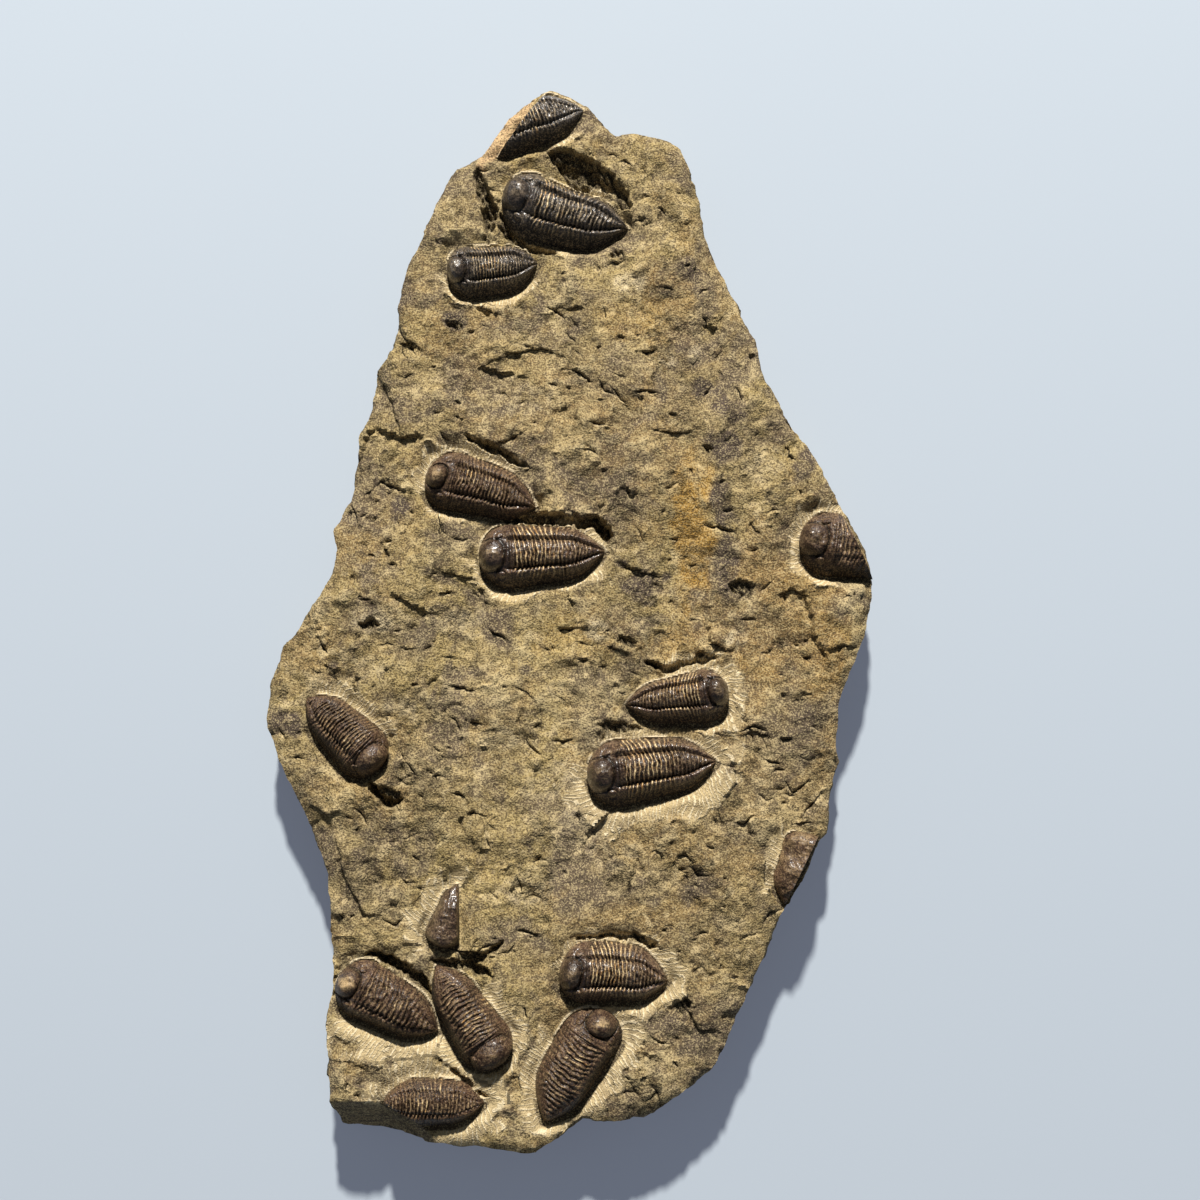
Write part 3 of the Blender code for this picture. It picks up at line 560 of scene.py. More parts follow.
def choose_faces(piece, wanted):
    """Selects these faces and nothing else, and stays in edit mode on faces."""
    edit("FACE")
    bpy.ops.mesh.select_all(action="DESELECT")
    leave_edit()
    piece.data.polygons.foreach_set("select", wanted)
    edit("FACE")


def border_points(piece):
    """Which points lie on an open border; the border stays selected."""
    edit("VERT")
    bpy.ops.mesh.select_all(action="DESELECT")
    bpy.ops.mesh.select_non_manifold(
        extend=False, use_wire=False, use_multi_face=False, use_non_contiguous=False, use_verts=False
    )
    leave_edit()
    chosen = np.empty(len(piece.data.vertices), bool)
    piece.data.vertices.foreach_get("select", chosen)
    return chosen


def mark(piece, name, values):
    """Stores one number per point, for the materials to read."""
    layer = piece.data.attributes.new(name, "FLOAT", "POINT")
    layer.data.foreach_set("value", np.ascontiguousarray(values, np.float32))


def finish_piece(piece, node, material, angle):
    """Brings the piece down to metres, turns its faces outwards, and lets it stand for its solid."""
    set_points(piece, get_points(piece) * MM)
    edit("FACE")
    bpy.ops.mesh.select_all(action="SELECT")
    bpy.ops.mesh.normals_make_consistent(inside=False)
    leave_edit()
    bpy.ops.object.shade_smooth_by_angle(angle=math.radians(angle))
    piece.data.materials.append(material)
    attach(piece, "root")
    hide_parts(node)


# --- the rock ---


def patches(points, table):
    """Soft-edged patches of colour, ragged with noise."""
    found = np.zeros(len(points))
    ragged = None
    for x, y, long, wide, turn, strength in table:
        near = close_to(points, [(x, y)], 2.2 * max(long, wide))
        if not len(near):
            continue
        if ragged is None:
            ragged = layered(points, 9, 31.7, 4)
        turned = math.radians(turn)
        dx, dy = points[near, 0] - x, points[near, 1] - y
        along = (dx * math.cos(turned) + dy * math.sin(turned)) / long
        across = (-dx * math.sin(turned) + dy * math.cos(turned)) / wide
        reach = np.hypot(along, across) + 0.55 * ragged[near]
        found[near] = np.maximum(found[near], strength * ramp(reach, 1.25, -0.6))
    return found


def beside_fossils(points, reach):
    """Each fossil, the numbers of the points near it, and how far those lie out from its foot."""
    for fossil in FOSSILS:
        outline = footprint(fossil)
        near = close_to(points, outline, reach)
        yield fossil, near, signed_distance(points[near], outline)


def chisel_strokes(points):
    """How strongly each point is dressed, how far round and out from a fossil it lies, its lip and foot."""
    dressed, round_it, lip, foot = np.zeros((4, len(points)))
    out_of_it = np.full(len(points), NO_STROKES)
    wobble = rough(points, 7, 15.2)
    for number, fossil in enumerate(FOSSILS):
        outline = footprint(fossil, 0, tuple(np.linspace(0, 1, 41)))
        near = close_to(points, outline, 16)
        distance, around, side, nearest = line_distance(points[near], outline, closed=True)
        out_y = (points[near, 1] - nearest[:, 1]) / np.maximum(distance, 0.05)
        inner = (side > 0) & (distance < 1.5)
        # The lip is a pale line along each shell's upper side, which faces the light: partly pale rock,
        # partly painted highlight.
        upper = ramp(out_y, -0.25, 0.7) * smoothstep(0.7 + 1.2 * rough(points[near], 5, 71.3))
        lip[near] = np.maximum(lip[near], upper * ~inner * bump(distance, 0.3, 0.75))
        out_y = np.where(inner, -out_y, out_y)
        # The foot is the rock along each shell's lower side, coloured dark as painted shadow.
        lower = ramp(out_y, 0.15, -0.7) * (1 + 0.5 * rough(points[near], 2.5, 73.1))
        foot[near] = np.maximum(foot[near], lower * ramp(distance, 3.0, -2.0))
        length = sum(math.dist(a, b) for a, b in zip(outline, outline[1:] + outline[:1]))
        nearer = distance < out_of_it[near]
        out_of_it[near] = np.where(nearer, distance, out_of_it[near])
        round_it[near] = np.where(nearer, around * length + 41 * number, round_it[near])
    for number, start, stop, reach, strength in STROKES:
        outline = footprint(FOSSILS[number - 1])
        near = close_to(points, outline, reach + 3)
        out = signed_distance(points[near], outline)
        middle = np.mean(outline, axis=0)
        bearing = np.degrees(np.arctan2(points[near, 1] - middle[1], points[near, 0] - middle[0]))
        turn = (bearing - start) % 360
        span = stop - start
        fan = smoothstep(turn / 14) * ramp(turn, span, -14) * (turn < span)
        ragged = reach * (0.85 + 0.6 * wobble[near])
        band = smoothstep((1.3 * ragged - out) / (0.4 * reach)) * ramp(out, -0.5, 0.5)
        dressed[near] = np.maximum(dressed[near], strength * fan * band)
    return dressed, round_it, out_of_it, lip, foot


def small_flakes():
    """Places and drops of the many small edges that flaking has left over the face."""
    chance = random.Random(23)
    flakes = []
    while len(flakes) < SMALL_FLAKES:
        x, y = chance.uniform(-130, 130), chance.uniform(-235, 235)
        turn = math.radians(chance.gauss(-12, 30))
        long = 2 + 8 * chance.random() ** 2.2
        arch = chance.uniform(-0.25, 0.25) * long
        dx, dy = math.cos(turn) * long / 2, math.sin(turn) * long / 2
        line = ((x - dx, y - dy), (x - dy * arch / long, y + arch), (x + dx, y + dy))
        spot = np.array([(x, y)])
        if signed_distance(spot, RIM)[0] > -CLEAR_OF_RIM:
            continue
        if min(signed_distance(spot, footprint(fossil))[0] for fossil in FOSSILS) < CLEAR_OF_FOSSILS:
            continue
        flakes.append((chance.uniform(0.3, 0.9), chance.uniform(2.5, 5), chance.uniform(0.2, 1.0), line))
    return flakes


def all_edges():
    """Every ledge, crack and small flake: its drop, how far that reaches, how open its crack is, its line."""
    edges = [(0.7 * drop, LEDGE_REACH, 0.4, line) for drop, line in LEDGES]
    edges += [(CRACK_DROP, CRACK_REACH, 1.0, line) for line in CRACKS]
    return edges + small_flakes()


def rock_surface(points):
    """The face's height at each point, and the masks that its material reads."""
    z = FACE + SWELL * rough(points, SWELL_SIZE, 0.5) + FLAKE * flaked(points, FLAKE_SIZE, 4.5, 20)
    lumps = layered(points, 26, 2.4, 4)
    detail = 2.0 * (stepped(lumps, 0.5, 0.06) - lumps) + 0.9 * lumps
    detail += 1.1 * flaked(points, 16, 8.1, 6) + 0.4 * flaked(points, 5.5, 3.3, 4)
    detail += 0.42 * layered(points, 6, 6.1, 4)
    inside = -signed_distance(points, RIM)
    z -= RIM_DROP * np.exp(-np.maximum(inside, 0) / RIM_REACH)
    dressed, round_it, out_of_it, lip, foot = chisel_strokes(points)
    z += detail * (1 - 0.9 * dressed)
    warp_x = 1.1 * rough(points, 6, 40.1) + 0.5 * rough(points, 2.2, 41.3)
    warp_y = 1.1 * rough(points, 6, 50.1) + 0.5 * rough(points, 2.2, 51.3)
    warped = points + np.stack([warp_x, warp_y], axis=-1)
    crack, gap = np.zeros(len(points)), np.full(len(points), FAR)
    for drop, reach, openness, line in all_edges():
        near = close_to(warped, line, 2.4 * reach)
        distance, along, side, _ = line_distance(warped[near], line)
        ends = np.sin(np.pi * np.clip(along, 0.001, 0.999)) ** 0.5
        ends *= 1 - 0.75 * dressed[near]
        fade = ends * np.exp(-((distance / reach) ** 2))
        low = smoothstep(0.5 - side * distance / (2 * LEDGE_EDGE))
        z[near] += fade * drop * (0.25 - 1.25 * low)
        z[near] -= CRACK_DEPTH * openness * ends * bump(distance, 0, CRACK_WIDTH)
        closest = (distance < np.abs(gap[near])) & (ends > 0.05)
        crack[near] = np.where(closest, ends * openness, crack[near])
        gap[near] = np.where(closest, side * distance, gap[near])
    pit = np.zeros(len(points))
    ragged = 1.3 * rough(points, 4.5, 4.4) + 0.9 * rough(points, 1.9, 6.4)
    uneven = 0.8 + 0.4 * rough(points, 6, 81.2) + 0.25 * rough(points, 2.5, 83.1)
    for depth, mouth in [(depth + PIT_WEAR, mouth) for depth, mouth in PITS] + list(HOLLOWS):
        out = distance_near(points, mouth, 4.0)
        sunk = smoothstep(-(out + ragged) / WALL)
        pit = np.maximum(pit, sunk)
        gouged = np.sin(2 * math.pi * (points[:, 0] + 0.5 * points[:, 1]) / 2.6)
        floor = FACE - depth * uneven + 0.7 * detail + 0.8 * gouged
        z = np.minimum(z, z * (1 - sunk) + floor * sunk)
    for fossil, near, out in beside_fossils(points, BED_REACH + 4):
        above = smoothstep((points[near, 1] - fossil.y) / 10)
        reach = BED_REACH * (0.75 + 0.35 * above + 0.3 * rough(points[near], 9, 61.2))
        rise = smoothstep(out / reach)
        lift = BED_LIFT * (0.3 + 0.7 * smoothstep((points[near, 1] - fossil.y + 7) / 12))
        bed = FACE - BED - GAP + lift + 0.35 * detail[near] * smoothstep(out / 2)
        z[near] = np.minimum(z[near], bed * (1 - rise) + z[near] * rise)
    z += LIP * lip
    beyond, _, side, _ = line_distance(points, CORNER)
    broken = FACE - 1 - CORNER_SLOPE * beyond + 0.6 * detail
    cut = side < 0
    z = np.where(cut, np.minimum(z, broken), z)
    for _, near, out in beside_fossils(points, 2):
        z[near] = np.where(out < -0.8, FACE - BED - GAP, z[near])
    marks = {
        "dressed": dressed,
        "stroke_along": round_it,
        "stroke_out": out_of_it,
        "crack": crack,
        "crack_gap": gap,
        "pit": pit,
        "relief": unit(0.5 + 0.34 * detail),
        "lip": lip,
        "foot": foot,
        "side": cut * smoothstep(beyond / 2),
    }
    marks.update({name: patches(points, table) for name, table in PATCHES.items()})
    return z, marks


def rim_jag(points):
    """How far the small jags of the rim stand in from its outline."""
    return RIM_JAG * rough(points, 8, 2.2) + 0.5 * RIM_JAG * rough(points, 3.2, 5.2)


def trim_to_rim(rock):
    """Cuts the flat grid to the slab's outline and draws its border out to the broken rim."""
    centres = face_centres(rock)[:, :2]
    choose_faces(rock, -signed_distance(centres, RIM) < rim_jag(centres) - 0.1)
    bpy.ops.mesh.delete(type="FACE")
    edge = border_points(rock)
    points = get_points(rock)
    at = points[edge, :2]
    nearest = line_distance(at, RIM, closed=True)[3]
    outward = (at - nearest) * np.where(signed_distance(at, RIM) > 0, 1, -1)[:, None]
    outward /= np.maximum(np.linalg.norm(outward, axis=1), 1e-6)[:, None]
    points[edge, :2] = nearest - outward * np.clip(rim_jag(at), -0.9, 1.5)[:, None]
    set_points(rock, points)
    edit("VERT")
    bpy.ops.mesh.select_all(action="SELECT")
    bpy.ops.mesh.remove_doubles(threshold=CELL_MERGE)
    bpy.ops.mesh.dissolve_degenerate(threshold=SLIVER)
    leave_edit()


def refine_beside_work(rock):
    """Halves the cells beside the fossils, pits, ledges and cracks, where the tools have been."""
    centres = face_centres(rock)[:, :2]
    fine = np.zeros(len(centres), bool)
    for _, near, out in beside_fossils(centres, FINE_BAND + 1):
        fine[near] |= (out > -CELL) & (out < FINE_BAND)
    for _, mouth in PITS + HOLLOWS:
        out = distance_near(centres, mouth, 3)
        fine |= (out > -3) & (out < 1.2)
    for _, _, _, line in all_edges():
        near = close_to(centres, line, 3)
        fine[near] |= line_distance(centres[near], line)[0] < EDGE_BAND
    choose_faces(rock, fine)
    bpy.ops.mesh.subdivide(number_cuts=1)
    leave_edit()


def side_profile(points, share, rim_z):
    """How far the broken side stands out from the rim, share of the way down from it."""
    z = rim_z * (1 - share)
    middle = SIDE_ROUGH * (rough(points, 17, 5.5) - 0.3)
    foot = middle - UNDERCUT * (0.8 + 0.4 * rough(points, 23, 9.1))
    upper = unit((rim_z - z) / np.maximum(rim_z - SIDE_MIDDLE, 1))
    lower = unit((SIDE_MIDDLE - z) / SIDE_MIDDLE)
    out = middle * upper + (foot - middle) * lower
    strata = [noise.fractal((x / 13, y / 13, h / 4), 1.0, 2.0, 4) for (x, y), h in zip(points, z)]
    beds = [noise.noise(Vector((x / 45, y / 45, h / 4.5 + 20))) for (x, y), h in zip(points, z)]
    wear = np.sin(math.pi * unit(share)) ** 0.4
    return out + wear * (1.3 * np.array(strata) + 3.2 * stepped(np.array(beds), 0.25, 0.1)), z


def make_rock():
    cells_x, cells_y = (round(2 * (reach + CELL) / CELL) for reach in HALF_SIZE)
    rock = start_grid("sandstone_slab", cells_x, cells_y)
    points = get_points(rock)
    points *= (HALF_SIZE[0] + CELL, HALF_SIZE[1] + CELL, 0)
    set_points(rock, points)
    trim_to_rim(rock)
    refine_beside_work(rock)
    border_points(rock)
    edit("EDGE")
    for _ in range(SIDE_ROWS):
        bpy.ops.mesh.extrude_edges_move(TRANSFORM_OT_translate={"value": (0, 0, -1)})
    bpy.ops.mesh.edge_face_add()
    leave_edit()
    points = get_points(rock)
    rows = np.round(-points[:, 2]).astype(int)
    top = rows == 0
    z, marks = rock_surface(points[top, :2])
    points[top, 2] = z
    rim_z = {(round(x, 4), round(y, 4)): h for x, y, h in points[top]}
    side = ~top
    at = points[side, :2]
    rim = np.array([rim_z[round(x, 4), round(y, 4)] for x, y in at])
    share = rows[side] / SIDE_ROWS
    out, height = side_profile(at, share, rim)
    outward = outward_of_rim(at)
    points[side, :2] = at + outward * out[:, None]
    points[side, 2] = np.where(rows[side] == SIDE_ROWS, 0, height)
    for axis, reach in enumerate(HALF_SIZE):
        points[:, axis] = np.clip(points[:, axis], -reach - PAST_SOLID, reach + PAST_SOLID)
    set_points(rock, points)
    on_sides = {"relief": 0.5, "crack_gap": FAR, "stroke_out": NO_STROKES, "side": 1.0}
    for name, values in marks.items():
        layer = np.full(len(points), on_sides.get(name, 0.0))
        layer[top] = values
        mark(rock, name, layer)
    return rock


def outward_of_rim(points):
    """Which way is out of the slab at each point of its rim, smoothed over the rim's small jags."""
    line = np.array(RIM, float)
    steps = np.roll(line, -1, axis=0) - line
    samples, directions = [], []
    for start, step in zip(line, steps):
        count = max(1, int(np.linalg.norm(step) / 2))
        for i in range(count):
            samples.append(start + step * (i + 0.5) / count)
            directions.append(np.array([-step[1], step[0]]) / np.linalg.norm(step))
    samples, directions = np.array(samples), np.array(directions)
    found = np.empty((len(points), 2))
    for first in range(0, len(points), 2000):
        block = points[first : first + 2000]
        gap = ((block[:, None, :] - samples[None]) ** 2).sum(axis=2)
        weight = np.exp(-gap / (2 * 5.0**2))
        found[first : first + 2000] = weight @ directions
    return found / np.linalg.norm(found, axis=1)[:, None]


# --- the shells ---


def make_shell(name, fossil):
    shell = start_grid(name + "_shell", SHELL_ALONG, SHELL_ACROSS)
    points = get_points(shell)
    run, spread_out = (points[:, 0] + 1) / 2, points[:, 1]
    front = HEAD * (1 - np.cos(math.pi / 2 * run / HEAD_ROWS))
    u = np.where(run < HEAD_ROWS, front, HEAD + (1 - HEAD) * (run - HEAD_ROWS) / (1 - HEAD_ROWS))
    t = np.sin(spread_out * EDGE_ROWS * math.pi) / math.sin(EDGE_ROWS * math.pi)
    height, crest, ringed = shell_height(fossil, u, t)
    set_points(shell, place(fossil, u, t, height))
    crown = unit(1 - np.hypot((u - 0.1) / 0.1, t / 0.36))
    dome = unit(1 - np.hypot((u - 0.12) / 0.165, t / 0.66))
    if fossil.groove == 0:
        crown = ramp(u, 0.8, -0.3)
        dome = np.full(len(u), 0.1 * (fossil.shell == "golden"))
    north = smoothstep(0.5 + 1.2 * t * math.cos(math.radians(fossil.heading)))
    marks = {
        "crest": crest,
        "ringed": ringed,
        "crown": crown * fossil.head * fossil.scuff,
        "dome": dome * fossil.head,
        # pale dust low on the shell; keeping it mostly to the lit upper side and off the shaded one is
        # painted light
        "foot": unit(1 - height / 3.5) * (0.1 + 0.9 * north),
        # painted shade: the lower flank on the side away from the light
        "painted_shade": ramp(np.abs(t), 0.66, 0.2) * (1 - north),
        "gilt": ramp(u, 0.22, 0.06) * ramp(u, 0.78, -0.3),
    }
    for label, values in marks.items():
        mark(shell, label, values)
    edit("VERT")
    bpy.ops.mesh.select_all(action="SELECT")
    bpy.ops.mesh.remove_doubles(threshold=0.01)
    leave_edit()
    border_points(shell)
    edit("EDGE")
    bpy.ops.mesh.extrude_edges_move(TRANSFORM_OT_translate={"value": (0, 0, -SHELL_SKIRT)})
    bpy.ops.mesh.edge_face_add()
    for (x, y), (nx, ny) in fossil.breaks:
        bpy.ops.mesh.select_all(action="SELECT")
        bpy.ops.mesh.bisect(
            plane_co=(x, y, FACE), plane_no=(nx, ny, 0.12), use_fill=True, clear_outer=True, threshold=0.001
        )
    leave_edit()
    return shell


# --- materials ---


class Field:
    """A number or colour over the surface: a node's output. Sums of fields make the nodes for them."""

    def __init__(self, shading, socket):
        self.shading = shading
        self.socket = socket

    def math(self, operation, other=0.0):
        return self.shading.node("Math", {0: self, 1: other}, operation=operation)

    def __add__(self, other):
        return self.math("ADD", other)

    def __sub__(self, other):
        return self.math("SUBTRACT", other)

    def __mul__(self, other):
        return self.math("MULTIPLY", other)

    def __rtruediv__(self, number):
        return self.shading.node("Math", {0: number, 1: self}, operation="DIVIDE")

    def __abs__(self):
        return self.math("ABSOLUTE")

    def spread(self, low, high, to_low=0.0, to_high=1.0):
        """Maps low..high onto 0..1, or onto the range given, and no further."""
        inputs = {"Value": self, "From Min": low, "From Max": high, "To Min": to_low, "To Max": to_high}
        return self.shading.node("MapRange", inputs)

    def mix(self, first, second):
        """The first colour, which gives way to the second as this field goes from 0 to 1."""
        return self.shading.node("Mix", {0: self, 6: first, 7: second}, 2, data_type="RGBA")

    def other(self, name):
        """Another output of the same node."""
        return Field(self.shading, self.socket.node.outputs[name])


class Shading:
    """The node tree of a material or a shared group while it is built."""

    def __init__(self, tree):
        self.tree = tree
        self.where = self.node("TexCoord", output="Object")

    def node(self, kind, inputs=None, output=0, **settings):
        node = self.tree.nodes.new("ShaderNode" + kind)
        for name, value in settings.items():
            setattr(node, name, value)
        self.feed(node.inputs, inputs or {})
        return Field(self, node.outputs[output])

    def feed(self, sockets, values):
        """Links fields to these sockets, and sets plain numbers and opaque colours on them."""
        for name, value in values.items():
            if isinstance(value, Field):
                self.tree.links.new(value.socket, sockets[name])
            elif sockets[name].type == "RGBA":
                sockets[name].default_value = (*value, 1)
            else:
                sockets[name].default_value = value

    def mark(self, name):
        """One of the numbers stored on the points of the mesh."""
        return self.node("Attribute", output="Fac", attribute_name=name)

    def noise(self, size, detail=2.0, roughness=0.5, where=None):
        """Noise whose lumps are about this size in metres."""
        inputs = {"Vector": where or self.where, "Scale": 1 / size, "Detail": detail, "Roughness": roughness}
        return self.node("TexNoise", inputs)

    def group(self, name, inputs):
        """A shared effect with its own values."""
        return self.node("Group", inputs, node_tree=bpy.data.node_groups[name])

    def mottle(self, size, cut=0.5, softness=0.1):
        return self.group("mottle", {"Size": size, "Cut": cut, "Softness": softness})

    def bump(self, height, strength, distance):
        return self.node("Bump", {"Height": height, "Strength": strength, "Distance": distance})


def painted(colour, layers):
    """The colour with layers over it, each a mask and its own colour."""
    for mask, tint in layers:
        colour = mask.mix(colour, tint)
    return colour


def new_group(name, inputs, outputs):
    """A shader node group: its shading, the fields it is given by name, and the sockets it feeds."""
    tree = bpy.data.node_groups.new(name, "ShaderNodeTree")
    for label, value in inputs.items():
        kind = "NodeSocketFloat" if isinstance(value, float) else "NodeSocketColor"
        tree.interface.new_socket(label, in_out="INPUT", socket_type=kind).default_value = value
    for label, kind in outputs.items():
        tree.interface.new_socket(label, in_out="OUTPUT", socket_type="NodeSocket" + kind)
    shading = Shading(tree)
    given = {socket.name: Field(shading, socket) for socket in tree.nodes.new("NodeGroupInput").outputs}
    return shading, given, tree.nodes.new("NodeGroupOutput").inputs


def make_grain_group():
    """Sand grains: mostly plain, some pale and many dark, each standing a little proud."""
    inputs = {
        "Colour": (0.3, 0.22, 0.12, 1),
        "Pale Grain": (0.56, 0.45, 0.24, 1),
        "Dark Grain": (0.076, 0.055, 0.033, 1),
        "Size": 0.0007,
        "Pale Share": 0.5,
        "Dark Share": 0.6,
    }
    s, given, out = new_group("sand_grain", inputs, {"Colour": "Color", "Height": "Float"})
    scale = 1 / given["Size"]
    fine = s.node("TexNoise", {"Vector": s.where, "Scale": scale, "Detail": 1.0, "Roughness": 0.6})
    coarse = s.node("TexNoise", {"Vector": s.where, "Scale": scale * 0.3, "Detail": 2.0})
    both = fine * 0.75 + coarse * 0.25
    pale = both.spread(0.52, 0.58) * given["Pale Share"]
    dark = both.spread(0.48, 0.41) * given["Dark Share"]
    colour = painted(given["Colour"], ((pale, given["Pale Grain"]), (dark, given["Dark Grain"])))
    s.feed(out, {"Colour": colour, "Height": both})


def make_mottle_group():
    """Broad, uneven patches from 0 to 1, for weathering and for the change of colour over a piece."""
    s, given, out = new_group("mottle", {"Size": 0.02, "Cut": 0.5, "Softness": 0.1}, {"Mask": "Float"})
    scale, cut, softness = 1 / given["Size"], given["Cut"], given["Softness"]
    inputs = {"Vector": s.where, "Scale": scale, "Detail": 6.0, "Roughness": 0.62, "Distortion": 0.6}
    s.feed(out, {"Mask": s.node("TexNoise", inputs).spread(cut - softness, cut + softness)})


def make_facet_group():
    """Small flat facets, each tilted its own way, as a stone splits under the chisel and the frost."""
    s, given, out = new_group("split_facets", {"Size": 0.01, "Tilt": 0.2, "Bend": 0.004}, {"Height": "Float"})

    def vector(operation, first, second, output=0):
        return s.node("VectorMath", {0: first, 1: second}, output, operation=operation)

    ragged = s.node("TexNoise", {"Vector": s.where, "Scale": 180.0, "Detail": 3.0}, "Color")
    shift = {0: vector("SUBTRACT", ragged, (0.5, 0.5, 0.5)), "Scale": given["Bend"]}
    bent = vector("ADD", s.where, s.node("VectorMath", shift, operation="SCALE"))
    cell = s.node("TexVoronoi", {"Vector": bent, "Scale": 1 / given["Size"]}, "Position")
    lean = vector("SUBTRACT", cell.other("Color"), (0.5, 0.5, 0.5))
    slope = vector("DOT_PRODUCT", vector("SUBTRACT", bent, cell), lean, "Value")
    s.feed(out, {"Height": slope * given["Tilt"]})


def new_material(name):
    material = bpy.data.materials.new(name)
    material.use_nodes = True
    shader = material.node_tree.nodes["Principled BSDF"]
    return material, Shading(material.node_tree), shader.inputs


def stroke_mask(s):
    """Fine pale strokes that run out from the fossils where the chisel has been."""
    along = s.mark("stroke_along") + s.noise(0.012) * 8.0 + s.mark("stroke_out") * 0.35
    width = s.noise(0.003).spread(0.35, 0.65, 0.0, 0.7 * STROKE_WIDTH)
    return (width - along.math("PINGPONG", STROKE_PITCH / 2)).spread(-0.12, 0.12)


def crack_mask(s):
    """The open cracks, as wide as each is open and ragged along both lips."""
    ragged = s.noise(0.0018, 3.0, 0.7).spread(0.3, 0.7, 0.1, 1)
    return (s.mark("crack") * ragged * 0.5 - abs(s.mark("crack_gap"))).spread(-0.12, 0.1)


def rock_material():
    """Sandstone: weathered brown over pale grains, with ochre and dark stains, clean where dressed, and
    painted shade in its pits, low places and below the shells.
    """
    material, s, shader = new_material("weathered_sandstone")
    relief, dressed = s.mark("relief"), s.mark("dressed")
    bedding = s.node("Mapping", {"Vector": s.where, "Scale": (0.25, 0.25, 1.6)})
    strata = s.noise(0.004, 5.0, 0.7, bedding).spread(0.4, 0.6)
    strokes = stroke_mask(s) * dressed.spread(0.1, 0.6)
    # Painted highlight: a pale strip along the side of each crack that faces the light.
    crack_highlight = abs(s.mark("crack_gap") + 0.75).spread(0.55, 0.1) * s.mark("crack")
    layers = (
        (s.mottle(0.05, 0.53, 0.05) * 0.5, (0.26, 0.16, 0.06)),
        (s.mottle(0.034, 0.54, 0.05) * 0.9, (0.13, 0.098, 0.068)),
        (s.mottle(0.022, 0.57, 0.04) * 0.6, (0.5, 0.38, 0.185)),
        (s.mottle(0.01, 0.58, 0.04) * 0.6, (0.1, 0.076, 0.052)),
        (s.mottle(0.009, 0.6, 0.03) * 0.65, (0.56, 0.44, 0.24)),
        # Painted shade where the fine relief lies low; where it stands high it is paler, as chipped edges
        # are.
        (relief.spread(0.4, 0.1, 0, 0.5), (0.12, 0.09, 0.05)),
        (relief.spread(0.64, 0.95, 0, 0.5), (0.58, 0.47, 0.26)),
        (s.mark("ochre") * s.mottle(0.012, 0.4, 0.12) * 0.9, (0.4, 0.23, 0.05)),
        (s.mark("stain") * s.mottle(0.007, 0.42, 0.1).spread(0, 1, 0.4, 1), (0.082, 0.06, 0.048)),
        (s.mark("pale") * s.mottle(0.005, 0.5, 0.12), (0.7, 0.58, 0.37)),
        # Painted shade: the pits and hollows are coloured nearly black.
        (s.mark("pit") * 0.9, (0.026, 0.019, 0.012)),
        (s.mark("side") * 0.85, strata.mix((0.045, 0.033, 0.02), (0.24, 0.175, 0.09))),
        (dressed * s.noise(0.006, 3.0).spread(0.35, 0.6, 0.6, 1.0), (0.6, 0.465, 0.255)),
        (strokes * 0.8, (0.86, 0.73, 0.49)),
        (s.mark("fresh") * s.mottle(0.004, 0.35, 0.12), (0.52, 0.345, 0.18)),
        # Painted shadow on the rock along the shells' lower sides.
        (s.mark("foot").spread(0.25, 0.7, 0, 0.9), (0.045, 0.03, 0.018)),
        # A pale line along the shells' upper, lit sides: partly pale rock, partly painted highlight.
        (s.mark("lip").spread(0.2, 0.7, 0, 0.85), (0.8, 0.67, 0.45)),
        (crack_highlight * s.mottle(0.004, 0.5, 0.1) * 0.7, (0.68, 0.55, 0.33)),
    )
    colour = painted(s.mottle(0.07, 0.5, 0.12).mix((0.37, 0.275, 0.11), (0.25, 0.183, 0.085)), layers)
    clean = dressed.math("MAXIMUM", s.mark("lip"))
    dark_share = clean.spread(0.2, 0.9, 0.76, 0.25)
    sand = {"Colour": colour, "Size": 0.00075, "Pale Share": 0.5, "Dark Share": dark_share}
    grain = s.group("sand_grain", sand)
    cracks = crack_mask(s)
    broad = s.group("split_facets", {"Size": 0.013, "Tilt": 500.0, "Bend": 0.008})
    small = s.group("split_facets", {"Size": 0.0045, "Tilt": 500.0, "Bend": 0.003})
    split = (broad + small * s.mottle(0.02, 0.5, 0.12)) * clean.spread(0.0, 0.6, 1.0, 0.2)
    lumps = s.noise(0.004, 6.0, 0.7) * dressed.spread(0, 1, 1, 0.5)
    height = split + lumps + grain.other("Height") * 0.6 + strokes * STROKE_DEPTH - cracks * 0.8
    s.feed(shader, {
        "Base Color": (cracks * 0.94).mix(grain, (0.016, 0.012, 0.008)),
        "Roughness": 0.92,
        "Specular IOR Level": 0.25,
        "Normal": s.bump(height, 1.0, 0.001),
    })  # fmt: skip
    return material


